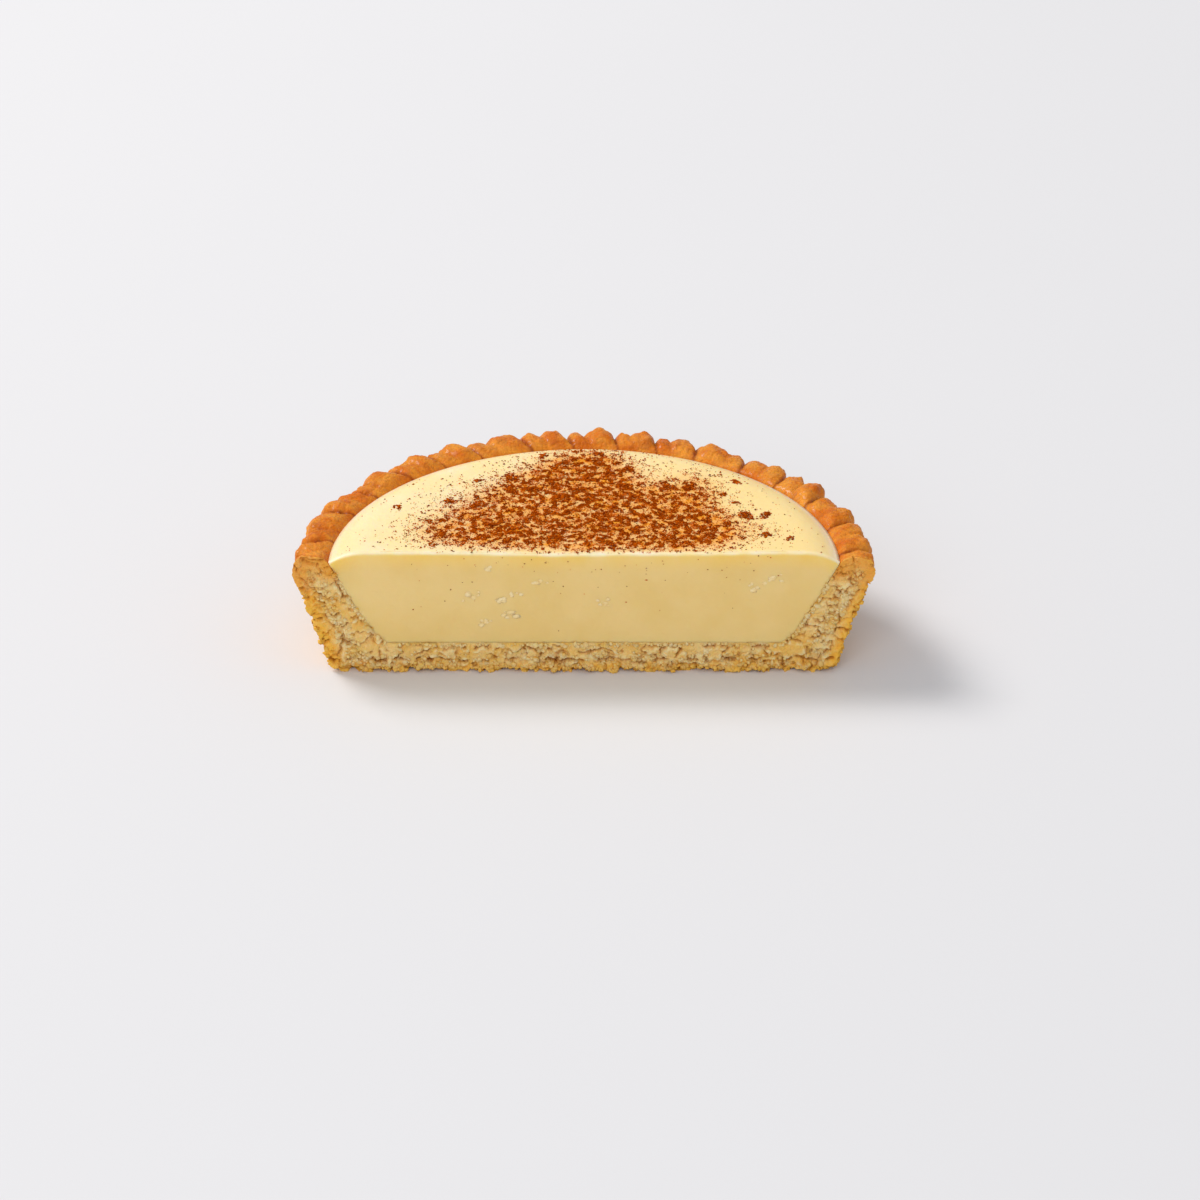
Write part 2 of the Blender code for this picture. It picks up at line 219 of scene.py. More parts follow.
def dress(piece: Piece, material: Material) -> Piece:
    """Gives the piece its one material.

    Args:
        piece: the object to change.
        material: its material.

    Returns:
        The same piece.
    """
    piece.data.materials.clear()
    piece.data.materials.append(material)
    return piece


def straight_run(corners: Sequence[tuple[float, float]], step: float) -> Array:
    """Points along straight stretches.

    Args:
        corners: the ends of the stretches, as (radius, height).
        step: about how far apart the points are.

    Returns:
        Rows of (radius, height).
    """
    made = [corners[0]]
    for one, other in zip(corners, corners[1:]):
        count = max(1, round(math.dist(one, other) / step))
        for k in range(1, count + 1):
            made.append(tuple(a + (b - a) * k / count for a, b in zip(one, other)))
    return np.array(made)


def turn_angles(kept: int, rest: int) -> Array:
    """The angles of a turned section's copies, close together in the half that stays.

    Args:
        kept: how many copies that half has.
        rest: how many the other half has, with both ends.

    Returns:
        Angles once round, in radians.
    """
    start, end, again = np.radians((-5, 185, 355))
    return np.concatenate([np.linspace(start, end, kept), np.linspace(end, again, rest)[1:-1]])


def turned_points(section: Array, angles: Array) -> Array:
    """Turns a section round the axis.

    Args:
        section: rows of (radius, height), both ends on the axis.
        angles: the angles of the copies.

    Returns:
        The points, one copy of the section after the other without its ends, then the two ends.
    """
    inner = section[1:-1]
    x = np.outer(np.cos(angles), inner[:, 0]).ravel()
    y = np.outer(np.sin(angles), inner[:, 0]).ravel()
    z = np.tile(inner[:, 1], len(angles))
    return np.vstack([np.column_stack([x, y, z]), (0, 0, section[0, 1]), (0, 0, section[-1, 1])])


def turned_faces(rows: int, copies: int) -> list[tuple[int, ...]]:
    """The faces between the copies of a turned section.

    Args:
        rows: how many points a copy has, its ends left out.
        copies: how many copies there are.

    Returns:
        The corner numbers of each face, seen from outside.
    """
    first_end, last_end = rows * copies, rows * copies + 1
    faces: list[tuple[int, ...]] = []
    for k in range(copies):
        here, there = k * rows, (k + 1) % copies * rows
        faces.append((first_end, here, there))
        faces += [(here + i, here + i + 1, there + i + 1, there + i) for i in range(rows - 1)]
        faces.append((last_end, there + rows - 1, here + rows - 1))
    return faces


def cutting_block(name: str, x: Array, heights: Array, back: Array) -> Piece:
    """A closed block over the front half of the tart whose back face is a relief.

    Args:
        name: the block's name.
        x: the relief's columns, a grid of rows by columns.
        heights: the relief's heights, a grid of the same form.
        back: how far behind the axis the relief lies, a grid of the same form.

    Returns:
        The block, ready to cut with.
    """
    rows, columns = x.shape
    relief = np.column_stack([x.ravel(), back.ravel(), heights.ravel()])
    front = relief.copy()
    front[:, 1] = BLOCK_FRONT
    count = rows * columns
    faces: list[tuple[int, ...]] = []
    for r in range(rows - 1):
        for c in range(columns - 1):
            a, e = r * columns + c, (r + 1) * columns + c
            b, d = a + 1, e + 1
            faces += [(a, d, b), (a, e, d)] if (r + c) % 2 else [(a, e, b), (b, e, d)]
    rim = list(range(columns))
    rim += [r * columns + columns - 1 for r in range(1, rows)]
    rim += [(rows - 1) * columns + c for c in range(columns - 2, -1, -1)]
    rim += [r * columns for r in range(rows - 2, 0, -1)]
    sides = list(zip(rim, rim[1:] + rim[:1]))
    faces += [(one, other, other + count, one + count) for one, other in sides]
    faces += [(one + count, other + count, 2 * count) for one, other in sides]
    made = mesh_piece(name, np.vstack([relief, front, (0.0, BLOCK_FRONT, 10.0)]), faces)
    shape = bmesh.new()
    shape.from_mesh(made.data)
    loose = [vertex for vertex in shape.verts if not vertex.link_faces]
    bmesh.ops.delete(shape, geom=loose, context="VERTS")
    bmesh.ops.recalc_face_normals(shape, faces=shape.faces)
    shape.to_mesh(made.data)
    shape.free()
    return made


def pebble() -> tuple[Array, list[tuple[int, ...]]]:
    """A small round form with twenty faces.

    Returns:
        Its points, 1 from its middle, and the corner numbers of its faces.
    """
    shape = bmesh.new()
    bmesh.ops.create_icosphere(shape, subdivisions=1, radius=1.0)
    points = np.array([tuple(vertex.co) for vertex in shape.verts])
    faces = [tuple(vertex.index for vertex in face.verts) for face in shape.faces]
    shape.free()
    return points, faces


@dataclass
class PebbleHeap:
    """Uneven pebbles, gathered one by one."""

    points: list[Array] = field(default_factory=list)
    faces: list[tuple[int, ...]] = field(default_factory=list)
    form: tuple[Array, list[tuple[int, ...]]] = field(default_factory=pebble)

    def add(self, draw: random.Random, centre: Array, scale: Array, low: float, high: float) -> None:
        """Adds a pebble.

        Args:
            draw: where its unevenness is drawn from.
            centre: its middle.
            scale: its three half sizes.
            low: the least share of them that a point stands out.
            high: the greatest share.
        """
        ball, corners = self.form
        jitter = np.array([[draw.uniform(low, high)] for _ in ball])
        start = len(ball) * len(self.points)
        self.points.append(centre + ball * jitter * scale)
        self.faces += [tuple(corner + start for corner in face) for face in corners]


# Material building


class Nodes:
    """Short ways to add and link a tree's shader nodes."""

    def __init__(self, tree: Tree) -> None:
        """Keeps the tree to build in."""
        self.tree = tree

    def add(self, kind: str, **settings: object) -> Node:
        """Adds a node.

        Args:
            kind: the node's type name, without its ShaderNode start.
            settings: properties to set on it.

        Returns:
            The new node.
        """
        made = self.tree.nodes.new("ShaderNode" + kind)
        for key, value in settings.items():
            setattr(made, key, value)
        return made

    def feed(self, socket: Socket, source: object) -> None:
        """Links a socket to an output, or sets its value.

        Args:
            socket: the input to feed.
            source: an output socket, a number or a colour.
        """
        if isinstance(source, Socket):
            self.tree.links.new(source, socket)
        elif isinstance(source, tuple) and len(source) == 3 and socket.type == "RGBA":
            socket.default_value = (*source, 1.0)
        else:
            socket.default_value = source

    def math(self, operation: str, a: object, b: object, clamp: bool = False) -> Socket:
        """Works out one number from two.

        Args:
            operation: what the node does.
            a: its first value.
            b: its second value.
            clamp: whether the result stays from 0 to 1.

        Returns:
            The node's output.
        """
        made = self.add("Math", operation=operation, use_clamp=clamp)
        self.feed(made.inputs[0], a)
        self.feed(made.inputs[1], b)
        return made.outputs[0]

    def ease(self, value: Socket, low: float, high: float, start: float = 0.0, end: float = 1.0) -> Socket:
        """Eases a value from one range to another.

        Args:
            value: the value to ease.
            low: where the rise starts.
            high: where the rise ends.
            start: the result below low.
            end: the result above high.

        Returns:
            The eased value.
        """
        made = self.add("MapRange", interpolation_type="SMOOTHSTEP")
        self.feed(made.inputs["Value"], value)
        for name, number in (("From Min", low), ("From Max", high), ("To Min", start), ("To Max", end)):
            made.inputs[name].default_value = number
        return made.outputs["Result"]

    def layers(self, colour: object, *layers: tuple[Socket, float, object]) -> Socket:
        """Lays colours over a first one.

        Args:
            colour: the first colour.
            layers: for each further colour its mask, its strength and the colour.

        Returns:
            The mixed colour.
        """
        for mask, strength, over in layers:
            made = self.add("Mix", data_type="RGBA")
            share = mask if strength == 1 else self.math("MULTIPLY", mask, strength)
            for name, source in (("Factor", share), ("A", colour), ("B", over)):
                self.feed(made.inputs[name], source)
            colour = made.outputs["Result"]
        return colour

    def masks(self, *names: str) -> list[Socket]:
        """Numbers kept at the mesh's points."""
        return [self.add("Attribute", attribute_name=name).outputs["Fac"] for name in names]


class MottleGroup:
    """A shader group for uneven tone and grain, used by every finish."""

    name = "mottle"

    def build(self) -> Tree:
        """Builds the group.

        Returns:
            The group, with coarse and fine masks and a grain height.
        """
        tree = bpy.data.node_groups.new(self.name, "ShaderNodeTree")
        for label, start in (("Coarse Scale", 200.0), ("Fine Scale", 1500.0)):
            socket = tree.interface.new_socket(label, in_out="INPUT", socket_type="NodeSocketFloat")
            socket.default_value = start
        for label in ("Coarse", "Fine", "Grain"):
            tree.interface.new_socket(label, in_out="OUTPUT", socket_type="NodeSocketFloat")
        nodes = Nodes(tree)
        place = nodes.add("TexCoord").outputs["Object"]
        given = tree.nodes.new("NodeGroupInput")
        result = tree.nodes.new("NodeGroupOutput")
        for label, scale, detail, low, high in (
            ("Coarse", "Coarse Scale", 3.0, 0.35, 0.65),
            ("Fine", "Fine Scale", 2.0, 0.35, 0.65),
            ("Grain", "Fine Scale", 5.0, 0.25, 0.75),
        ):
            made = nodes.add("TexNoise")
            nodes.feed(made.inputs["Vector"], place)
            nodes.feed(made.inputs["Scale"], given.outputs[scale])
            made.inputs["Detail"].default_value = detail
            nodes.feed(result.inputs[label], nodes.ease(made.outputs["Fac"], low, high))
        return tree


@dataclass(frozen=True)
class Finish:
    """What every finish has: a name, and a mottled material with a Principled shader to dress."""

    name: str

    def start(self, coarse: float, fine: float, **settings: object) -> tuple[Nodes, Node, list[Socket]]:
        """Makes the material.

        Args:
            coarse: the scale of its large patches, in patches a metre.
            fine: the scale of its grain, in grains a metre.
            settings: the shader's own values, by the names of its inputs with _ for each space.

        Returns:
            Its nodes, its Principled shader, and the masks of its patches, its specks and its grain.
        """
        made = bpy.data.materials.new(self.name)
        made.use_nodes = True
        nodes = Nodes(made.node_tree)
        shader = made.node_tree.nodes["Principled BSDF"]
        for name, value in settings.items():
            shader.inputs[name.replace("_", " ")].default_value = value
        tree = bpy.data.node_groups.get(MottleGroup.name) or MottleGroup().build()
        placed = nodes.add("Group", node_tree=tree)
        placed.inputs["Coarse Scale"].default_value = coarse
        placed.inputs["Fine Scale"].default_value = fine
        return nodes, shader, list(placed.outputs)

    def end(self, nodes: Nodes, shader: Node, grain: Socket, depth: float) -> Material:
        """Gives the shader a bump.

        Args:
            nodes: where to add it.
            shader: the Principled shader.
            grain: the bump's height, from 0 to 1.
            depth: how deep a height of 1 is, in metres.

        Returns:
            The finished material.
        """
        made = nodes.add("Bump")
        made.inputs["Distance"].default_value = depth
        nodes.feed(made.inputs["Height"], grain)
        nodes.feed(shader.inputs["Normal"], made.outputs["Normal"])
        return bpy.data.materials[self.name]


@dataclass(frozen=True)
class ShortcrustFinish(Finish):
    """Baked shortcrust: browned skin outside, pale crumb where it is cut; the dark of its crevices and of the
    skin's creases is painted shade, and its crests and bumps carry painted highlights.
    """

    # Pale golden: the skin's lighter patches and the browned band's colour at the lip, and painted highlight on
    # the skin's bumps.
    skin_pale_and_highlight: Colour = linear(242, 164, 58)
    skin: Colour = linear(218, 114, 18)
    # Dark brown: random dark specks, and painted shade in the skin's creases.
    skin_dark_and_shade: Colour = linear(146, 58, 2)
    # Paler golden lower wall: partly its lighter bake, partly painted light shining through the thin wall.
    wall: Colour = linear(255, 196, 80)
    # Pale cream: the crumb's lighter patches, and painted highlight on its crests and loose crumbs.
    crumb_pale_and_highlight: Colour = linear(255, 228, 170)
    crumb: Colour = linear(248, 198, 104)
    # Painted shade for the crumb's crevices.
    crevice_shade: Colour = linear(172, 92, 4)
    crumb_baked: Colour = linear(255, 188, 62)
    bump_depth: float = 0.00018

    def build(self) -> Material:
        """Builds the material.

        Returns:
            The finished material, which reads the masks cut, hollow, crest, baked and low of its mesh.
        """
        nodes, shader, (coarse, fine, grain) = self.start(
            260.0,
            1700.0,
            Coat_Roughness=0.25,
            Specular_IOR_Level=0.08,
            Subsurface_Weight=0.2,
            Subsurface_Radius=(1.0, 0.5, 0.2),
            Subsurface_Scale=0.0015,
        )
        cut, painted_shade, crest, baked, low = nodes.masks("cut", "painted_shade", "crest", "baked", "low")
        skin = nodes.layers(
            self.skin,
            (coarse, 0.6, self.skin_pale_and_highlight),
            # Painted highlight on the skin's bumps.
            (crest, 0.5, self.skin_pale_and_highlight),
            # The lower wall is paler golden: partly its lighter bake, partly painted light shining through it.
            (low, 0.85, self.wall),
            (fine, 0.2, self.skin_dark_and_shade),
            # Painted shade in the skin's creases.
            (painted_shade, 0.85, self.skin_dark_and_shade),
        )
        browned = nodes.layers(self.skin_pale_and_highlight, (low, 1, self.crumb_baked))
        crumb = nodes.layers(
            self.crumb,
            (coarse, 0.5, self.crumb_pale_and_highlight),
            # Painted highlight on the crumb's crests and loose crumbs.
            (crest, 1, self.crumb_pale_and_highlight),
            (baked, 0.85, browned),
            # Painted shade in the crumb's crevices.
            (painted_shade, 1, self.crevice_shade),
        )
        rough = nodes.math("ADD", 0.3, nodes.math("MULTIPLY", grain, 0.25))
        rough = nodes.math("ADD", rough, nodes.math("MULTIPLY", cut, 0.2))
        shine = nodes.ease(fine, 0.45, 0.95, 0.0, 0.34)
        shine = nodes.math("MULTIPLY", shine, nodes.math("SUBTRACT", 1.0, cut))
        nodes.feed(shader.inputs["Base Color"], nodes.layers(skin, (cut, 1, crumb)))
        nodes.feed(shader.inputs["Roughness"], rough)
        nodes.feed(shader.inputs["Coat Weight"], shine)
        return self.end(nodes, shader, grain, self.bump_depth)


@dataclass(frozen=True)
class CustardFinish(Finish):
    """Set custard: moist and smooth, yellower under its skin, stained where cinnamon lies on it, with a painted
    highlight along the cut's rounded top edge and a pale band by the crust that is partly painted sheen.
    """

    top: Colour = linear(255, 228, 166)
    # Pale cream: the top's paler patches, the band by the crust, which is partly painted sheen, and painted
    # highlight on the cut's rounded edge.
    top_pale_and_highlight: Colour = linear(255, 241, 210)
    top_deep: Colour = linear(255, 222, 151)
    body: Colour = linear(240, 206, 128)
    under_skin: Colour = linear(250, 208, 98)
    stain: Colour = linear(250, 156, 10)
    bump_depth: float = 0.00005

    def build(self) -> Material:
        """Builds the material.

        Returns:
            The finished material, which reads the masks face, skin, shoulder, edge, deep and dust of its mesh.
        """
        nodes, shader, (coarse, fine, grain) = self.start(
            90.0,
            900.0,
            Specular_IOR_Level=0.35,
            Subsurface_Weight=0.35,
            Subsurface_Radius=(1.0, 0.7, 0.3),
            Subsurface_Scale=0.002,
        )
        face, skin, shoulder, edge, deep, dust = nodes.masks("face", "skin", "shoulder", "edge", "deep", "dust")
        specks = nodes.math("ADD", 0.74, nodes.math("MULTIPLY", nodes.ease(fine, 0.25, 0.95), 0.26))
        top = nodes.layers(
            self.top,
            (coarse, 0.35, self.top_pale_and_highlight),
            (deep, 1, self.top_deep),
            # The band by the crust: partly a pale film, partly painted sheen.
            (shoulder, 0.6, self.top_pale_and_highlight),
            (nodes.math("MULTIPLY", dust, specks), 1, self.stain),
        )
        body = nodes.layers(self.body, (skin, 1, self.under_skin), (coarse, 0.25, self.top))
        # Painted highlight along the cut's rounded top edge.
        whole = nodes.layers(top, (face, 1, body), (edge, 0.8, self.top_pale_and_highlight))
        nodes.feed(shader.inputs["Base Color"], whole)
        nodes.feed(shader.inputs["Roughness"], nodes.math("ADD", 0.3, nodes.math("MULTIPLY", grain, 0.12)))
        return self.end(nodes, shader, grain, self.bump_depth)


@dataclass(frozen=True)
class CinnamonFinish(Finish):
    """Ground cinnamon: dry and dark, each grain with its own tone."""

    dark: Colour = linear(120, 36, 0)
    light: Colour = linear(246, 116, 4)
    bump_depth: float = 0.00008

    def build(self) -> Material:
        """Builds the material.

        Returns:
            The finished material, which reads the mask tone of its mesh.
        """
        nodes, shader, (_, fine, grain) = self.start(1200.0, 6000.0, Specular_IOR_Level=0.03)
        tone = nodes.math("ADD", *nodes.masks("tone"), nodes.math("MULTIPLY", fine, 0.25), clamp=True)
        nodes.feed(shader.inputs["Base Color"], nodes.layers(self.dark, (tone, 1, self.light)))
        nodes.feed(shader.inputs["Roughness"], nodes.ease(grain, 0.0, 1.0, 0.75, 0.95))
        return self.end(nodes, shader, grain, self.bump_depth)


@dataclass(frozen=True)
class CurdFinish(Finish):
    """Pale curds that stand out of the cut custard; their paleness is partly painted highlight, for glints on
    the torn cut.
    """

    # Partly painted highlight: the curds are paler than the custard so that they show as glints on the torn
    # cut.
    pale: Colour = linear(255, 232, 178)
    deep: Colour = linear(255, 224, 156)
    bump_depth: float = 0.00005

    def build(self) -> Material:
        """Builds the material.

        Returns:
            The finished material.
        """
        nodes, shader, (coarse, _, grain) = self.start(900.0, 4000.0, Specular_IOR_Level=0.3)
        nodes.feed(shader.inputs["Base Color"], nodes.layers(self.pale, (coarse, 1, self.deep)))
        nodes.feed(shader.inputs["Roughness"], nodes.ease(grain, 0.0, 1.0, 0.2, 0.4))
        return self.end(nodes, shader, grain, self.bump_depth)


@dataclass(frozen=True)
class FloorFinish(Finish):
    """The plain pale floor."""

    colour: Colour = linear(226, 226, 229)
    patches: Colour = linear(221, 221, 224)

    def build(self) -> Material:
        """Builds the material.

        Returns:
            The finished material.
        """
        nodes, shader, (coarse, _, _) = self.start(4.0, 60.0, Roughness=0.8, Specular_IOR_Level=0.1)
        nodes.feed(shader.inputs["Base Color"], nodes.layers(self.colour, (coarse, 0.15, self.patches)))
        return bpy.data.materials[self.name]


# The tart


@dataclass
class CrumbRelief:
    """The broken face of the crumb: how far each place of a grid stands out of the cut."""

    step: float = 0.17
    left: float = -52.0
    bottom: float = -2.0
    width: float = 104.0
    rise: float = 27.0
    spread: float = 0.7
    x: Array = field(init=False)
    z: Array = field(init=False)
    stands: Array = field(init=False)
    painted_shade: Array = field(init=False)
    crest: Array = field(init=False)

    def __post_init__(self) -> None:
        """Works out the whole grid."""
        across = self.left + np.arange(round(self.width / self.step)) * self.step
        up = self.bottom + np.arange(round(self.rise / self.step)) * self.step
        self.x, self.z = np.meshgrid(across, up)
        flat = np.column_stack([self.x.ravel(), np.zeros(self.x.size), self.z.ravel()])
        self.stands = self.relief(flat).reshape(self.x.shape)
        mean = self.blur(self.stands, round(self.spread / self.step))
        beside = self.from_custard(self.x, self.z)
        # Painted shade: places lower than the grid around them are darkened, less beside the custard and more
        # at the very bottom.
        self.painted_shade = smooth_step(mean - self.stands, 0.06, 0.5) * (0.35 + 0.65 * smooth_step(beside, 0.2, 1.0))
        self.painted_shade *= 1 - 0.25 * smooth_step(self.z, 1.0, 2.6)
        # Painted highlight: places higher than the grid around them are lightened.
        self.crest = smooth_step(self.stands - mean, 0.05, 0.35)

    def relief(self, flat: Array) -> Array:
        """Flat-topped clods with torn edges, short cracks, loose grains and a knobbly lower edge.

        Args:
            flat: rows of (x, 0, z).

        Returns:
            How far each place stands out.
        """
        x, z = flat[:, 0], flat[:, 2]
        across, up = noise_field(flat, 1.6, 3, 3.0), noise_field(flat, 1.6, 3, 8.0)
        ragged = np.column_stack([across, np.zeros_like(x), up])
        warped = flat * np.array((0.72, 1.0, 1.1)) + 0.75 * ragged
        _, border, own = cell_field(warped, 2.6)
        torn = smooth_step(noise_field(flat, 2.6, 2, 5.0), -0.3, 0.15)
        cracks = (1 - smooth_step(border, 0.02, 0.22)) * torn
        edges = 1 - smooth_step(border, 0.1, 0.42)
        low = smooth_step(-z, -2.4, -1.3)
        loose = np.maximum(edges * torn, smooth_step(noise_field(flat, 2.2, 2, 33.0), 0.1, 0.4))
        loose = np.maximum(loose, low)
        wander = 2.1 + 0.8 * noise_field(flat * FLAT, 3.2, 2, 61.0)
        seam = 1 - smooth_step(np.abs(z - wander), 0.1, 0.45)
        seam *= smooth_step(noise_field(flat, 2.0, 1, 44.0), -0.25, 0.2)
        dome, _, own_grain = cell_field(warped, 0.82, 11.0)
        grains = smooth_step(-dome, -0.62, -0.05) * (0.35 + 0.65 * own_grain)
        knob, _, own_knob = cell_field(warped, 1.5, 19.0)
        knobs = smooth_step(-knob, -0.6, -0.05) * (0.3 + 0.7 * own_knob)
        pits = smooth_step(noise_field(warped, 1.4, 2, 15.0), 0.5, 0.8)
        gaps = smooth_step(-z, -0.8, -0.1) * smooth_step(noise_field(flat, 2.0, 2, 40.0), -0.2, 0.15)
        stands = 0.4 * noise_field(warped, 3.2, 2, 12.0) + 0.75 * (own - 0.5)
        stands = np.where(stands > 0.2, 0.2 + 0.4 * (stands - 0.2), stands)
        stands -= 0.6 * cracks + 0.4 * pits + 0.6 * seam
        stands += loose * (0.5 * grains - 0.18)
        stands += low * (1.1 * knobs + 0.1)
        stands -= 1.4 * gaps
        beside = 0.12 + 0.88 * smooth_step(self.from_custard(x, z), 0.0, 0.9)
        stands = np.where(stands < 0, stands * beside, stands)
        stands *= 1 - 0.25 * smooth_step(z, 14.5, 18.5)
        return stands + 0.03 * noise_field(flat, 0.5, 2, 25.0)

    def from_custard(self, x: Array, z: Array) -> Array:
        """How far places on the cut are from the custard.

        Args:
            x: places across.
            z: heights.

        Returns:
            Distances.
        """
        beside = np.abs(x) - np.interp(z, INNER_HEIGHTS, INNER_RADII)
        beyond = np.maximum(np.abs(x) - INNER_RADII[0], 0.0)
        return np.where(z > INNER_HEIGHTS[0], beside, np.hypot(beyond, INNER_HEIGHTS[0] - z))

    def blur(self, values: Array, reach: int) -> Array:
        """Averages a grid over nearby places.

        Args:
            values: the grid.
            reach: how many places away are counted.

        Returns:
            The averaged grid.
        """
        for axis in (0, 1):
            values = sum(np.roll(values, shift, axis) for shift in range(-reach, reach + 1)) / (2 * reach + 1)
        return values

    def sample(self, grid: Array, x: Array, z: Array) -> Array:
        """Reads a grid between its places.

        Args:
            grid: the grid to read.
            x: places across.
            z: heights.

        Returns:
            The values there.
        """
        column = np.clip((x - self.left) / self.step, 0, grid.shape[1] - 1.001)
        row = np.clip((z - self.bottom) / self.step, 0, grid.shape[0] - 1.001)
        c, r = column.astype(int), row.astype(int)
        u, v = column - c, row - r
        lower = grid[r, c] * (1 - u) + grid[r, c + 1] * u
        upper = grid[r + 1, c] * (1 - u) + grid[r + 1, c + 1] * u
        return lower * (1 - v) + upper * v


@dataclass
class PastryShell:
    """The crimped shortcrust case, cut across with a crumbly break."""

    rim_radius: float = 49.5
    foot_radius: float = 41.3
    foot_round: float = 2.4
    rim_top: float = 22.0
    lip_width: float = 6.2
    lip_height: float = 5.2
    lip_squareness: float = 2.5
    wall_bow: float = 0.25
    flutes: int = 33
    flute_width_varies: float = 0.25
    first_notch: float = math.radians(6.7)
    crimp_mean: float = 0.64
    crimp_depth: float = 2.15
    crimp_height: float = 1.5
    flute_share_at_foot: float = 0.35
    crease_slant: float = math.radians(2.2)
    crimp_bend: float = 2.6
    crimp_seed: int = 99350
    columns: int = 560
    crumbs: int = 1150
    crumb_lowest: float = 0.05
    crumb_furthest: float = 1.5
    surface_depth: float = 0.12
    skin_radius: float = 43.0
    skin_lowest: float = 0.3
    relief: CrumbRelief = field(default_factory=CrumbRelief)
    finish: ShortcrustFinish = field(default_factory=lambda: ShortcrustFinish("baked_shortcrust"))

    def lumps(self) -> list[tuple[float, float, float, float, float]]:
        """The lumps of the rim.

        Returns:
            For each, where it starts and ends, its crest, and the notches at its start and its end.
        """
        draw = random.Random(self.crimp_seed)
        widths = [1 + self.flute_width_varies * draw.uniform(-1, 1) for _ in range(self.flutes)]
        start = self.first_notch
        made = []
        for width in widths:
            end = start + math.tau * width / sum(widths)
            share = draw.uniform(0.5, 0.66)
            small_first = draw.random() < 0.35
            middle = start + (end - start) * (1 - share if small_first else share)
            dip = draw.uniform(0.35, 0.6)
            crests = [draw.uniform(0.85, 1.1), draw.uniform(0.65, 0.9)]
            if small_first:
                crests.reverse()
            made.append((start, middle, crests[0], 0.0, dip))
            made.append((middle, end, crests[1], dip, 0.0))
            start = end
        return made

    def crimp(self, angles: Array) -> Array:
        """How far out the crimped edge stands.

        Args:
            angles: angles round the tart.

        Returns:
            From 0 in a notch to about 1 on a crest.
        """
        table_angles = np.linspace(0, math.tau, 14401)
        table = np.zeros_like(table_angles)
        for start, end, crest, low_start, low_end in self.lumps():
            for turn in (-math.tau, 0.0):
                share = (table_angles - start - turn) / (end - start)
                inside = (share >= 0) & (share < 1)
                share = share[inside]
                low = low_start + (low_end - low_start) * share
                table[inside] = low + (crest - low) * (4 * share * (1 - share)) ** 0.62
        return np.interp(angles % math.tau, table_angles, table)

    def lip_arc(self, steps: int) -> Array:
        """The lip's section, from its inner edge over the top to its outer underside.

        Args:
            steps: how many steps it takes.

        Returns:
            Rows of (radius, height).
        """
        angle = np.radians(np.linspace(150, -32, steps + 1))
        power = 2 / self.lip_squareness
        across, up = (np.sign(part) * np.abs(part) ** power for part in (np.cos(angle), np.sin(angle)))
        radius = self.rim_radius - self.lip_width / 2 + self.lip_width / 2 * across
        height = self.rim_top - self.lip_height / 2 + self.lip_height / 2 * up
        return np.column_stack([radius, height])

    def section(self) -> Array:
        """The whole section, from the axis along the floor, over the lip and back to the axis under the base.

        Returns:
            Rows of (radius, height).
        """
        floor = [(radius, INNER_HEIGHTS[0]) for radius in (0.0, 15.0, 28.0)]
        lip = self.lip_arc(38)
        inner = straight_run([*zip(INNER_RADII[:3], INNER_HEIGHTS[:3]), tuple(lip[0])], 1.2)
        turn = np.radians(np.linspace(-8, -90, 8))
        foot = np.column_stack(
            [self.foot_radius + self.foot_round * np.cos(turn), self.foot_round * (1 + np.sin(turn))]
        )
        share = np.linspace(0, 1, 38)[1:-1]
        wall = lip[-1] + np.outer(share, foot[0] - lip[-1])
        wall[:, 0] -= self.wall_bow * 4 * share * (1 - share)
        under = [(36.0, 0.0), (20.0, 0.0), (0.0, 0.0)]
        return np.vstack([floor, inner[:-1], lip, wall, foot, under])

    def shape(self, points: Array) -> Array:
        """Crimps, flutes and roughens the shell.

        Args:
            points: rows of (x, y, z) as turned.

        Returns:
            The shaped points.
        """
        radius = np.hypot(points[:, 0], points[:, 1])
        z = points[:, 2]
        moves = (radius > INNER_RADII[0] + 1) & (z > 0.01)
        lip_middle = self.rim_radius - self.lip_width / 2
        lip_low = self.rim_top - self.lip_height / 2
        slope = (self.rim_radius - self.foot_radius) / self.rim_top
        inward = (self.rim_radius - radius) / self.lip_width
        wander = 0.012 * noise_field(points, 3.0, 2, 4.0)
        angle = np.arctan2(points[:, 1], points[:, 0]) + self.crease_slant * inward + wander
        crimp = self.crimp(angle) - self.crimp_mean
        wave = 0.3 * noise_field(points / 7.0, 1.0)
        on_lip = smooth_step(z, lip_low - self.lip_height / 3, lip_low)
        on_wall = smooth_step(radius - self.foot_radius - z * slope, -2.0, -0.5)
        past_middle = smooth_step(radius, lip_middle - 1, lip_middle + self.crimp_bend)
        outside = np.maximum(on_wall, on_lip * past_middle)
        fade = self.flute_share_at_foot + (1 - self.flute_share_at_foot) * smooth_step(z, 0, lip_low)
        on_top = on_lip * smooth_step(radius, lip_middle - self.crimp_bend, lip_middle - 0.5)
        rough = self.blisters(points)
        near_cut = 1 - smooth_step(points[:, 1], 2.0, 6.0)
        below = smooth_step(-z, -15.5 - 2.0 * near_cut, -11.0 - 2.0 * near_cut)
        crumble = (0.3 + 0.4 * near_cut) * noise_field(points, 1.3, 2, 31.0)
        out = outside * (crimp * self.crimp_depth * fade + wave + rough + below * crumble)
        lift = on_top * (crimp * self.crimp_height + wave + rough)
        wider = (radius + np.where(moves, out, 0.0)) / np.maximum(radius, 1e-6)
        return np.column_stack([points[:, 0] * wider, points[:, 1] * wider, z + np.where(moves, lift, 0.0)])

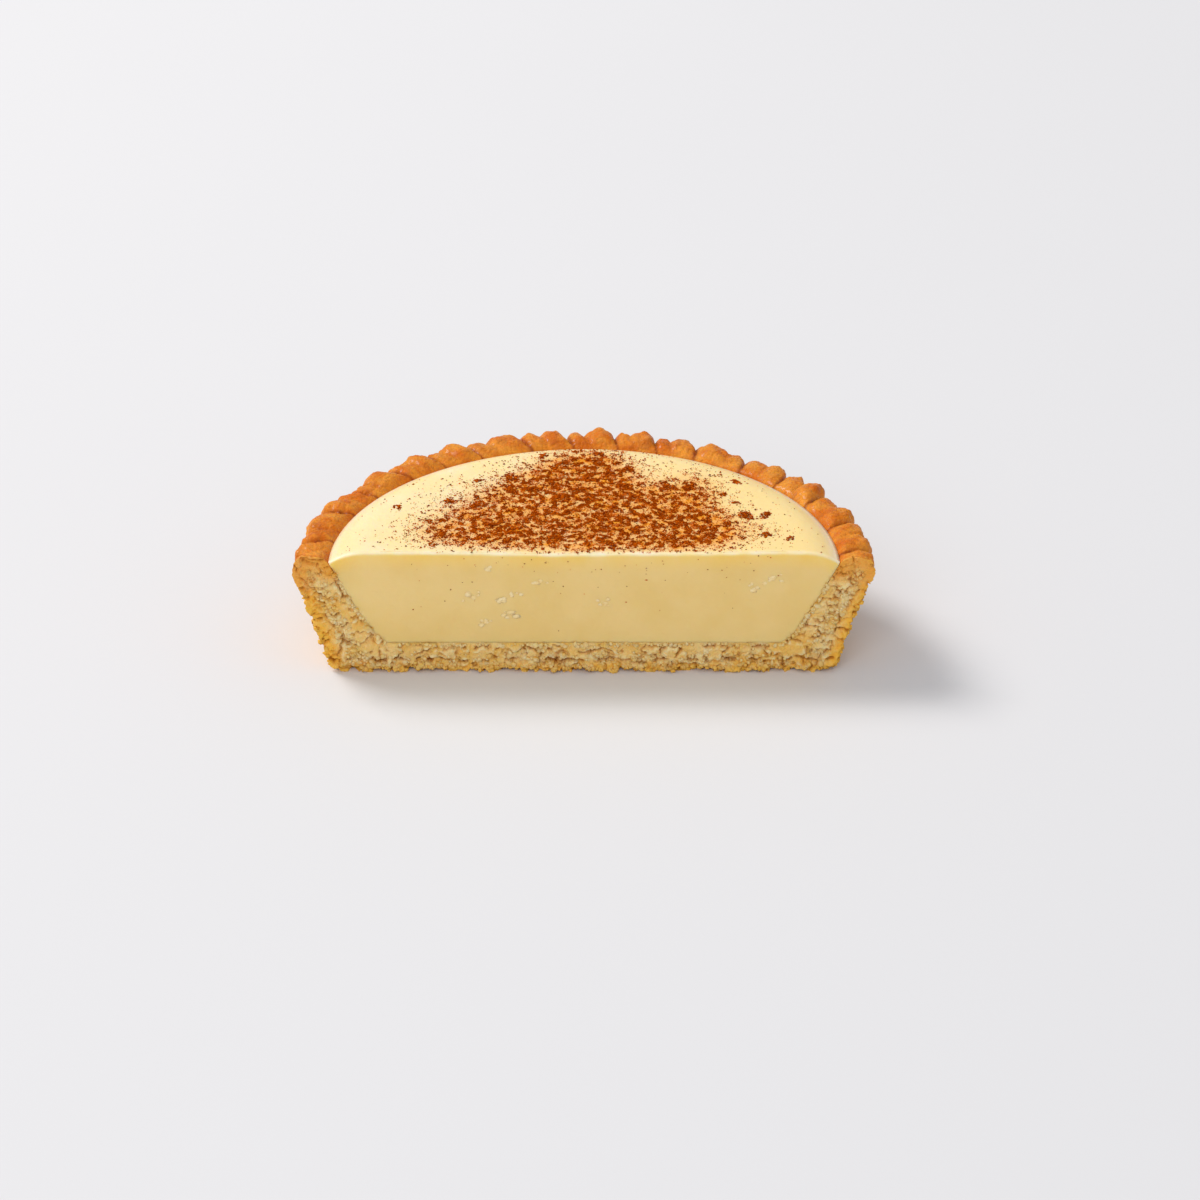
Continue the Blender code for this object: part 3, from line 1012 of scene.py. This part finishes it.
    def blisters(self, points: Array) -> Array:
        """The skin's rounded blisters and fine pimples.

        Args:
            points: rows of (x, y, z) as turned.

        Returns:
            How far the skin stands out, about 0 on the whole.
        """
        pushed = points + 0.35 * noise_field(points, 1.6, 1, 9.0)[:, None]
        middle, _, own = cell_field(pushed, 1.7)
        small, _, _ = cell_field(pushed, 0.8, 21.0)
        return 0.42 * ((0.75 - middle) * (0.6 + 0.8 * own) - 0.35) + 0.16 * (0.45 - small)

    def crumb_place(self, draw: random.Random) -> tuple[float, float, float]:
        """Draws a crumb's place: most lie along the base's lower edge.

        Args:
            draw: where it is drawn from.

        Returns:
            Its place across, its height, and how far behind the cut it is, or 0 for on the cut.
        """
        kind = draw.random()
        if kind < 0.12:
            z = draw.uniform(0.6, 15.5)
            x = draw.choice((-1, 1)) * (self.foot_radius + 2.2 + 0.29 * z + draw.uniform(-0.3, 0.2))
            return x, z, draw.uniform(0.2, 2.6)
        if kind < 0.6:
            return draw.uniform(-42, 42), draw.triangular(0.3, 4.0, 0.5), 0.0
        if kind < 0.78:
            up = draw.random()
            return draw.choice((-1, 1)) * (39.0 + 7.5 * up + draw.uniform(-1.5, 1.5)), 2.5 + 17.0 * up, 0.0
        if kind < 0.9:
            return draw.uniform(-34, 34), INNER_HEIGHTS[0] - draw.uniform(0.1, 0.6), 0.0
        z = draw.uniform(INNER_HEIGHTS[0], 19.5)
        edge = float(np.interp(z, INNER_HEIGHTS, INNER_RADII))
        return draw.choice((-1, 1)) * (edge + draw.uniform(0.05, 0.6)), z, 0.0

    def add_crumbs(self, piece: Piece) -> None:
        """Adds crumbs to the cut. One that would float is set on the surface.

        Args:
            piece: the shell, already cut.
        """
        draw = random.Random(self.crimp_seed + 5)
        heap = PebbleHeap()
        whole = bmesh.new()
        whole.from_mesh(piece.data)
        tree = BVHTree.FromBMesh(whole)
        for _ in range(self.crumbs):
            x, z, back = self.crumb_place(draw)
            size = draw.triangular(0.18, 0.65, 0.28)
            stands = 0.0 if back else self.relief.sample(self.relief.stands, np.array([x]), np.array([z]))[0]
            centre = np.array((x, CUT_BEHIND + back - stands - draw.uniform(-0.2, 0.35) * size, z))
            nearest, _, _, distance = tree.find_nearest(Vector((centre + AXIS) * MM))
            if distance > 0.4 * size * MM:
                centre = np.array(nearest) / MM - AXIS
            scale = np.array([draw.uniform(0.75, 1.2) for _ in range(3)]) * size
            heap.add(draw, centre, scale, 0.62, 1.25)
        points = np.vstack(heap.points)
        points[:, 2] = np.maximum(points[:, 2], self.crumb_lowest)
        points[:, 1] = np.maximum(points[:, 1], CUT_BEHIND - self.crumb_furthest)
        crumbs = mesh_piece("crumbs", points, heap.faces)
        whole.from_mesh(crumbs.data)
        whole.to_mesh(piece.data)
        whole.free()
        bpy.data.objects.remove(crumbs)
        piece.data.shade_smooth()

    def build(self) -> Piece:
        """Builds the shell and dresses it.

        Returns:
            The finished piece.
        """
        section, angles = self.section(), turn_angles(self.columns, 30)
        shaped = self.shape(turned_points(section, angles))
        piece = mesh_piece("shortcrust_shell", shaped, turned_faces(len(section) - 2, len(angles)))
        relief = self.relief
        cut_away(piece, cutting_block("crust_knife", relief.x, relief.z, CUT_BEHIND - relief.stands))
        self.add_crumbs(piece)
        write_masks(piece, self.masks(piece))
        return dress(piece, self.finish.build())

    def masks(self, piece: Piece) -> dict[str, Array]:
        """The masks that the finish reads.

        Args:
            piece: the shell, cut and crumbed.

        Returns:
            One number a point for each mask's name.
        """
        points, normals = points_and_normals(piece)
        relief = self.relief
        x, y, z = points.T
        grids = (relief.stands, relief.painted_shade, relief.crest)
        stands, painted_shade, crest = (relief.sample(grid, x, z) for grid in grids)
        loose = ((normals[:, 1] < -0.2) & (y < CUT_BEHIND + 1.2)) | (y < CUT_BEHIND - 0.2)
        cut = (np.abs(y - (CUT_BEHIND - stands)) < self.surface_depth) | loose
        section = self.section()
        distance = np.full(len(points), 1e9)
        for radius, height in section[(section[:, 0] > self.skin_radius) & (section[:, 1] > self.skin_lowest)]:
            distance = np.minimum(distance, np.hypot(np.abs(x) - radius, z - height))
        uneven = 0.6 * noise_field(points, 1.3, 2, 50.0)
        baked = 1 - smooth_step(distance + uneven, 0.5, 3.0 + 2.0 * smooth_step(z, 15.5, 19.5))
        under = 0.95 * (1 - smooth_step(z + uneven, 0.3, 2.5))
        inward = (self.rim_radius - np.hypot(x, y)) / self.lip_width
        # Painted shade in the notches between the rim's lumps and in the dips between the skin's noise bumps.
        crease_shade = 1 - smooth_step(self.crimp(np.arctan2(y, x) + self.crease_slant * inward), 0.1, 0.62)
        bumps = noise_field(points, 2.6, 2, 9.0)
        crease_shade = crease_shade * (0.3 + 0.7 * smooth_step(z, 14.0, 18.5)) + 0.4 * smooth_step(-bumps, 0.2, 0.8)
        # Painted highlight on crumbs that stand out of the cut, uneven from crumb to crumb; on the skin,
        # painted highlight on the noise's bumps.
        grown = np.clip(0.45 + noise_field(points, 1.6, 1, 71.0), 0, 1)
        crest = np.where(y < CUT_BEHIND - stands - self.surface_depth, grown, crest)
        return {
            "cut": cut.astype(float),
            "painted_shade": np.where(cut, painted_shade, np.clip(crease_shade, 0, 1)),
            "crest": np.where(cut, crest, smooth_step(bumps, 0.0, 0.7)),
            "baked": np.clip(baked + under, 0, 1),
            "low": 1 - smooth_step(z + 1.5 * uneven, 12.0, 19.0),
        }


@dataclass
class CustardFilling:
    """The set custard, cut with a clean knife. The cinnamon lies on it in drifts, as (x, y, spreads, share)."""

    edge_radius: float = INNER_RADII[3]
    edge_height: float = INNER_HEIGHTS[3]
    edge_reach: float = 0.2
    edge_round: float = 0.6
    top_height: float = 23.0
    sag: float = 0.35
    shoulder_width: float = 6.5
    shoulder_roundness: float = 2.4
    fit_gap: float = 0.06
    columns: int = 260
    finish: CustardFinish = field(default_factory=lambda: CustardFinish("set_custard"))
    drifts: tuple[tuple[float, float, float, float, float], ...] = (
        (0, 33, 6, 5, 0.9),
        (-6, 26, 8, 4, 0.7),
        (1, 20, 8, 7, 1.0),
        (-17, 17, 7, 5, 0.6),
        (-20, 8, 7, 4, 0.8),
        (-3, 9, 8, 5, 1.0),
        (10, 13, 8, 6, 0.9),
        (19, 24, 4, 5, 0.6),
        (18, 9, 8, 5, 0.9),
    )

    def height(self, x: Array, y: Array) -> Array:
        """The height of the custard's top.

        Args:
            x: places across.
            y: places behind the axis.

        Returns:
            Heights.
        """
        inward = np.clip(self.edge_radius - np.hypot(x, y), 0.0, None)
        share = np.clip(inward / self.shoulder_width, 0.0, 1.0)
        shoulder = (1 - (1 - share) ** self.shoulder_roundness) * (self.top_height - self.edge_height)
        middle = smooth_step(inward, self.shoulder_width, self.edge_radius)
        flat = np.column_stack([np.ravel(x), np.ravel(y), np.zeros(np.size(x))])
        ripple = 0.14 * noise_field(flat, 14.0) * smooth_step(np.ravel(inward), 0.6, 3.0)
        return self.edge_height + shoulder - self.sag * middle + ripple.reshape(np.shape(x))

    def cinnamon_share(self, x: Array, y: Array) -> Array:
        """How thickly the cinnamon lies.

        Args:
            x: places across.
            y: places behind the axis.

        Returns:
            From 0 to 1.
        """
        total = np.zeros(np.shape(x))
        for drift_x, drift_y, spread_x, spread_y, share in self.drifts:
            across, along = (x - drift_x) / spread_x, (y - drift_y) / spread_y
            total += share * np.exp(-0.5 * (across * across + along * along))
        return np.minimum(total, 1.0)

    def section(self) -> Array:
        """The section, from the axis over the top, down the side and under the floor to the axis.

        Returns:
            Rows of (radius, height).
        """
        gap = self.fit_gap
        corners = [
            (0.0, INNER_HEIGHTS[0] + gap),
            (INNER_RADII[0] - 0.3 * gap, INNER_HEIGHTS[0] + gap),
            (INNER_RADII[1] - 1.15 * gap, INNER_HEIGHTS[1]),
            (INNER_RADII[2] - 1.15 * gap, INNER_HEIGHTS[2]),
            (self.edge_radius + self.edge_reach, self.edge_height),
        ]
        radii = np.concatenate([np.linspace(self.edge_radius - 0.3, 35, 24), np.linspace(34.3, 0, 44)])
        top = np.column_stack([radii, np.full(len(radii), self.top_height)])
        return np.vstack([straight_run(corners, 1.5), top])[::-1]

    def build(self) -> Piece:
        """Builds the custard and dresses it.

        Returns:
            The finished piece.
        """
        section, angles = self.section(), turn_angles(self.columns, 20)
        points = turned_points(section, angles)
        radius = np.hypot(points[:, 0], points[:, 1])
        top = (points[:, 2] > self.edge_height - 0.01) & (radius < self.edge_radius - 0.2)
        points[top, 2] = self.height(points[top, 0], points[top, 1])
        piece = mesh_piece("custard", points, turned_faces(len(section) - 2, len(angles)))
        cut_away(piece, self.knife())
        write_masks(piece, self.masks(piece))
        return dress(piece, self.finish.build())

    def knife(self) -> Piece:
        """The block that cuts the custard, which curves back over the rounded top edge.

        Returns:
            The block.
        """
        columns = np.linspace(-52, 52, 210)
        ones, line = np.ones_like(columns), np.outer(columns, (1, 0, 0))
        top = self.height(columns, CUT_BEHIND * ones)
        back = CUT_BEHIND + 0.05 * noise_field(line, 5.0, 2, 70.0)
        rows = [(-5.0 * ones, CUT_BEHIND * ones)]
        upright = 16
        for height in np.linspace(5, 20, upright):
            ripple = 0.07 * noise_field(line + (0, 0, height), 6.0, 2, 60.0)
            rows.append((height * ones, CUT_BEHIND + ripple))
        for turn in np.linspace(0, math.pi / 2, 7):
            below = self.edge_round * (1 - math.sin(turn))
            rows.append((top - below, back + self.edge_round * (1 - math.cos(turn))))
        rows.append((top + 5.0, (CUT_BEHIND + self.edge_round + 0.5) * ones))
        z, back = (np.array([row[k] for row in rows]) for k in range(2))
        highest = (top - self.edge_round - 0.2)[None, :] - 0.01 * np.arange(upright)[::-1, None]
        z[1 : upright + 1] = np.minimum(z[1 : upright + 1], highest)
        return cutting_block("custard_knife", np.tile(columns, (len(rows), 1)), z, back)

    def masks(self, piece: Piece) -> dict[str, Array]:
        """The masks that the finish reads.

        Args:
            piece: the custard, already cut.

        Returns:
            One number a point for each mask's name.
        """
        points, normals = points_and_normals(piece)
        x, y, z = points.T
        face = smooth_step(-normals[:, 1], 0.45, 0.85) * (y < CUT_BEHIND + 1.2)
        depth = self.height(x, y) - z
        inward = self.edge_radius - np.hypot(x, y)
        # Painted highlight along the cut's rounded top edge, broken in places and fading below it.
        rounded = smooth_step(y, CUT_BEHIND - 0.05, CUT_BEHIND + 0.2)
        rounded *= 1 - smooth_step(y, CUT_BEHIND + 0.5, CUT_BEHIND + 1.3)
        broken = 0.65 + 0.6 * noise_field(points * np.array((1, 0, 0)), 4.0, 3, 33.0)
        drift = 0.5 * noise_field(points * FLAT, 16.0, 2, 90.0)
        heap = smooth_step(self.cinnamon_share(x, y), 0.15, 0.9) * smooth_step(y, CUT_BEHIND, CUT_BEHIND + 1.8)
        patches = 0.9 + 0.6 * noise_field(points * FLAT, 2.2, 2, 80.0)
        return {
            "face": face,
            "edge": np.clip(rounded * broken, 0, 1) * (1 - smooth_step(depth, 0.5, 1.2)),
            "deep": smooth_step(x / 45 + drift, -0.75, 0.9),
            "skin": 1 - smooth_step(depth, 0.3, 3.6),
            # A pale band by the crust, stronger on the right: partly a pale film, partly painted sheen.
            "shoulder": (1 - smooth_step(inward, 0.3, 2.0)) * (0.7 + 0.6 * smooth_step(x, 10.0, 30.0)),
            "dust": np.clip(heap * patches, 0, 1) * (1 - face),
        }


@dataclass
class CinnamonDusting:
    """The cinnamon on the custard: clumps, flakes, dust and stray specks."""

    custard: CustardFilling
    reach: float = 41.5
    clump_seed: int = 8
    clumps: int = 68
    clump_sizes: tuple[float, float] = (1.5, 0.55)
    clump_reach: float = 40.0
    batch: int = 6000
    flakes: int = 22000
    dust: int = 24000
    specks: int = 280
    fallen_specks: int = 70
    tone_varies: float = 0.28
    finish: CinnamonFinish = field(default_factory=lambda: CinnamonFinish("ground_cinnamon"))

    def clump_places(self) -> list[tuple[float, float, float, float, float, float]]:
        """The places of the clumps that are part of the solid custard.

        Returns:
            For each, its x, y, three half sizes and turn.
        """
        draw = random.Random(self.clump_seed)
        largest, smallest = self.clump_sizes
        reach = self.clump_reach
        placed: list[tuple[float, float, float]] = []
        made = []
        tries = 0
        while len(placed) < self.clumps and tries < 60 * self.clumps:
            tries += 1
            size = largest + (smallest - largest) * (len(placed) / self.clumps) ** 0.6
            x, y = draw.uniform(-reach, reach), draw.uniform(CUT_BEHIND + 1.4 + size, reach)
            if math.hypot(x, y) + size > reach:
                continue
            if draw.random() > float(self.custard.cinnamon_share(np.array(x), np.array(y))):
                continue
            if any(math.hypot(x - a, y - b) < 1.3 * (size + c) for a, b, c in placed):
                continue
            placed.append((x, y, size))
            radii = (size, size * draw.uniform(0.55, 0.9), draw.uniform(0.29, 0.47))
            made.append((x, y, *radii, draw.uniform(0, math.pi)))
            for _ in range(12):  # the solid's clumps draw their outlines here, and the draws stay in step
                draw.random()
        return made

    def scatter(
        self, name: str, places: Array, sizes: Array, seed: int, flatness: float, rounder: bool, tone: float
    ) -> Piece:
        """Joins many uneven grains into one piece.

        Args:
            name: the piece's name.
            places: rows of (x, y, z), the middles of the grains.
            sizes: half the width of each grain.
            seed: the seed of the grains' shapes.
            flatness: how thick a grain is for its width.
            rounder: whether a grain has twenty faces instead of eight.
            tone: the grains' middle tone, from 0 for dark to 1 for light.

        Returns:
            The piece, with a tone for each grain.
        """
        draw = np.random.default_rng(seed)
        shape = np.array([(1, 0, 0), (0, 1, 0), (-1, 0, 0), (0, -1, 0), (0, 0, 1), (0, 0, -1)], dtype=float)
        corners = [(0, 1, 4), (1, 2, 4), (2, 3, 4), (3, 0, 4), (1, 0, 5), (2, 1, 5), (3, 2, 5), (0, 3, 5)]
        if rounder:
            shape, corners = pebble()
        count, each = len(places), len(shape)
        grown = shape[None] * draw.uniform(0.6, 1.25, (count, each, 1)) * sizes[:, None, None]
        grown[:, :, 0] *= draw.uniform(0.8, 1.6, (count, 1))
        grown[:, :, 2] *= flatness
        turn = draw.uniform(0, math.tau, count)
        cos, sin = np.cos(turn)[:, None], np.sin(turn)[:, None]
        x = grown[:, :, 0] * cos - grown[:, :, 1] * sin
        y = grown[:, :, 0] * sin + grown[:, :, 1] * cos
        points = np.stack([x, y, grown[:, :, 2]], axis=2) + places[:, None, :]
        starts = (np.arange(count) * each)[:, None, None]
        faces = (np.array(corners)[None] + starts).reshape(-1, 3).tolist()
        made = mesh_piece(name, points.reshape(-1, 3), faces)
        tones = np.clip(draw.normal(tone, self.tone_varies, count), 0, 1)
        write_masks(made, {"tone": np.repeat(tones, each)})
        return made

    def sprinkle(self, count: int, seed: int, patch_size: float, patchiness: float, power: float) -> Array:
        """Places that follow the drifts of cinnamon.

        Args:
            count: how many places.
            seed: the seed of the draw.
            patch_size: the size of the small patches that the grains gather in.
            patchiness: 0 for even grains, 1 for grains only in patches.
            power: above 1 for grains that keep more to the thick of the drifts.

        Returns:
            Rows of (x, y).
        """
        draw = np.random.default_rng(seed)
        kept: list[Array] = []
        while sum(map(len, kept)) < count:
            x = draw.uniform(-42, 42, self.batch)
            y = draw.uniform(CUT_BEHIND + 0.4, 42, self.batch)
            density = self.custard.cinnamon_share(x, y) ** power + 0.0015
            density *= smooth_step(y, CUT_BEHIND - 0.3, CUT_BEHIND + 1.8)
            flat = np.column_stack([x, y, np.zeros_like(x)])
            patch = smooth_step(noise_field(flat, patch_size, 2, 80.0), -0.05, 0.4)
            chance = density * (1 - patchiness + patchiness * patch)
            inside = (np.hypot(x, y) < self.reach) & (draw.random(self.batch) < chance)
            kept.append(flat[inside, :2])
        return np.vstack(kept)[:count]

    def on_top(self, flat: Array, rise: Array) -> Array:
        """Lays places on the custard.

        Args:
            flat: rows of (x, y).
            rise: how far each place lies above the surface.

        Returns:
            Rows of (x, y, z).
        """
        z = self.custard.height(flat[:, 0], flat[:, 1]) + rise
        return np.column_stack([flat[:, 0], np.maximum(flat[:, 1], CUT_BEHIND + 0.25), z])

    def clump_piece(self) -> Piece:
        """Makes the clumps of the solid as heaps of grains.

        Returns:
            The piece.
        """
        draw = np.random.default_rng(11)
        places, sizes = [], []
        for x, y, long, wide, high, turn in self.clump_places():
            for _ in range(int(46 * long * wide) + 8):
                away, around = 1.35 * draw.random() ** 0.6, draw.uniform(0, math.tau)
                a, b = away * math.cos(around) * long, away * math.sin(around) * wide
                across = x + a * math.cos(turn) - b * math.sin(turn)
                along = y + a * math.sin(turn) + b * math.cos(turn)
                places.append((across, along, 0.55 * high * max(0.0, 1 - away * away)))
                sizes.append(draw.uniform(0.12, 0.26))
        flat = np.array(places)
        laid = self.on_top(flat[:, :2], flat[:, 2])
        return self.scatter("cinnamon_clumps", laid, np.array(sizes), 12, 0.6, True, 0.2)

    def build(self) -> list[Piece]:
        """Builds all the cinnamon and dresses it.

        Returns:
            The pieces.
        """
        material = self.finish.build()
        draw = np.random.default_rng(5)
        flakes = self.sprinkle(self.flakes, 21, 1.15, 0.98, 2.0)
        flake_sizes = draw.triangular(0.07, 0.11, 0.25, len(flakes))
        dust = self.sprinkle(self.dust, 22, 1.8, 0.85, 1.5)
        dust_sizes = draw.triangular(0.06, 0.08, 0.14, len(dust))
        flakes = self.on_top(flakes, 0.3 * flake_sizes)
        dust = self.on_top(dust, 0.25 * dust_sizes)
        specks = self.stray_specks()
        speck_sizes = draw.triangular(0.07, 0.11, 0.22, len(specks))
        made = [
            self.clump_piece(),
            self.scatter("cinnamon_flakes", flakes, flake_sizes, 31, 0.7, False, 0.18),
            self.scatter("cinnamon_dust", dust, dust_sizes, 32, 0.6, False, 0.62),
            self.scatter("cinnamon_specks", specks, speck_sizes, 33, 0.7, False, 0.2),
        ]
        return [dress(piece, material) for piece in made]

    def stray_specks(self) -> Array:
        """Specks that strayed over the whole top and down the cut.

        Returns:
            Rows of (x, y, z).
        """
        draw = np.random.default_rng(41)
        turn = draw.uniform(0, math.pi, self.specks)
        away = self.reach * np.sqrt(draw.random(self.specks))
        flat = np.column_stack([away * np.cos(turn), away * np.sin(turn)])
        flat = flat[flat[:, 1] > CUT_BEHIND + 0.8]
        count = self.fallen_specks
        fall = draw.exponential(3.5, count)
        x = draw.uniform(-30, 34, count)
        crest = self.custard.height(x, np.full(count, CUT_BEHIND + 0.7))
        cut = np.column_stack([x, np.full(count, CUT_BEHIND), crest - 0.5 - fall])[fall < 16]
        return np.vstack([self.on_top(flat, np.full(len(flat), 0.02)), cut])


@dataclass
class Curds:
    """Small pale curds in the cut custard, in clusters as (x, height, how many); their paleness is partly
    painted highlight, for glints on the torn cut.
    """

    clusters: tuple[tuple[float, float, int], ...] = (
        (-14.0, 13.8, 5),
        (-11.8, 15.4, 4),
        (-19.0, 14.6, 5),
        (-7.3, 17.4, 5),
        (-16.4, 20.2, 2),
        (-12.7, 11.1, 6),
        (-16.8, 9.8, 5),
        (3.2, 13.2, 7),
        (29.0, 16.6, 6),
        (32.0, 18.0, 8),
    )
    thickness: float = 0.17
    finish: CurdFinish = field(default_factory=lambda: CurdFinish("pale_curd_and_glint"))

    def build(self) -> Piece:
        """Builds the curds and dresses them.

        Returns:
            The piece.
        """
        draw = random.Random(77)
        heap = PebbleHeap()
        for x, z, count in self.clusters:
            for _ in range(count):
                size = draw.triangular(0.2, 0.85, 0.36)
                centre = np.array((x + draw.gauss(0, 0.7), CUT_BEHIND + 0.04, z + draw.gauss(0, 0.4)))
                wide, high = size * draw.uniform(0.8, 1.3), size * draw.uniform(0.6, 0.95)
                heap.add(draw, centre, np.array([wide, self.thickness, high]), 0.7, 1.2)
        return dress(mesh_piece("curds", np.vstack(heap.points), heap.faces), self.finish.build())


@dataclass
class Studio:
    """The floor, the lights and the camera."""

    elevation: float = math.radians(28.4)
    distance: float = 1000.0
    pixels_per_mm: float = 5.87
    aim_pixel: tuple[float, float] = (584.1, 564.2)
    aim_height: float = 20.9
    image: float = 1200.0
    floor_reach: float = 4000.0
    sky: Colour = (0.93, 0.94, 0.96)
    sky_strength: float = 0.54

    def floor(self) -> None:
        """Makes the floor."""
        corners = np.array([(-1, -1, 0), (1, -1, 0), (1, 1, 0), (-1, 1, 0)]) * self.floor_reach
        dress(mesh_piece("floor", corners, [(0, 1, 2, 3)]), FloorFinish("pale_floor").build())

    def light(self, name: str, place: Triple, size: float, power: float, colour: Colour) -> None:
        """Adds a square soft light that points at the tart.

        Args:
            name: the light's name.
            place: where it is, in metres.
            size: its width, in metres.
            power: its power, in watts.
            colour: its colour.
        """
        lamp = bpy.data.lights.new(name, "AREA")
        lamp.size = size
        lamp.energy = power
        lamp.color = colour
        made = bpy.data.objects.new(name, lamp)
        made.location = place
        made.rotation_mode = "QUATERNION"
        made.rotation_quaternion = (Vector((0, 0, 0.01)) - Vector(place)).to_track_quat("-Z", "Y")
        bpy.context.scene.collection.objects.link(made)

    def camera(self) -> None:
        """Adds the camera at the photograph's angle and framing."""
        aim = Vector((AXIS[0], AXIS[1] + CUT_BEHIND, self.aim_height)) * MM
        right = Vector((1, 0, 0))
        ahead = Vector((0, math.cos(self.elevation), -math.sin(self.elevation)))
        up = right.cross(ahead)
        across, down = ((self.image / 2 - pixel) / self.pixels_per_mm for pixel in self.aim_pixel)
        lens = bpy.data.cameras.new("camera")
        lens.sensor_width = 36.0
        lens.lens = lens.sensor_width * self.pixels_per_mm * self.distance / self.image
        lens.clip_start, lens.clip_end = 0.01, 20.0
        made = bpy.data.objects.new("camera", lens)
        made.location = aim + (right * across - up * down - ahead * self.distance) * MM
        made.rotation_mode = "QUATERNION"
        made.rotation_quaternion = ahead.to_track_quat("-Z", "Y")
        bpy.context.scene.collection.objects.link(made)
        bpy.context.scene.camera = made

    def build(self) -> None:
        """Builds the studio."""
        scene = bpy.context.scene
        scene.view_settings.view_transform = "Standard"
        scene.world = bpy.data.worlds.new("studio")
        scene.world.use_nodes = True
        sky = scene.world.node_tree.nodes["Background"]
        sky.inputs["Color"].default_value = (*self.sky, 1.0)
        sky.inputs["Strength"].default_value = self.sky_strength
        self.floor()
        self.light("key", (-1.3, 0.85, 1.6), 0.8, 34.0, (1.0, 0.97, 0.93))
        self.light("fill", (-0.4, -1.6, 1.2), 1.2, 10.0, (1.0, 0.99, 0.98))
        self.camera()


def settle(pieces: Sequence[Piece], slot: Slot, *nodes: str) -> None:
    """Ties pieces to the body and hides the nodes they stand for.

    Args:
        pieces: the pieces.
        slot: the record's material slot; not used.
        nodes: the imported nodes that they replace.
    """
    for piece in pieces:
        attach(piece, Body.ROOT.value)
        if nodes:
            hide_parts(*nodes)
        log.info("%s: %d triangles", piece.name, sum(len(face.vertices) - 2 for face in piece.data.polygons))


def main() -> None:
    """Builds the tart and the studio."""
    logging.basicConfig(level=logging.INFO, format="%(name)s %(message)s")
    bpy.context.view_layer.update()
    custard = CustardFilling()
    settle([PastryShell().build()], Slot.SHORTCRUST, "pastry_shell")
    settle([custard.build()], Slot.CUSTARD, "custard_filling")
    settle(CinnamonDusting(custard).build(), Slot.CUSTARD)
    settle([Curds().build()], Slot.CUSTARD)
    Studio().build()


if __name__ == "__main__":
    main()
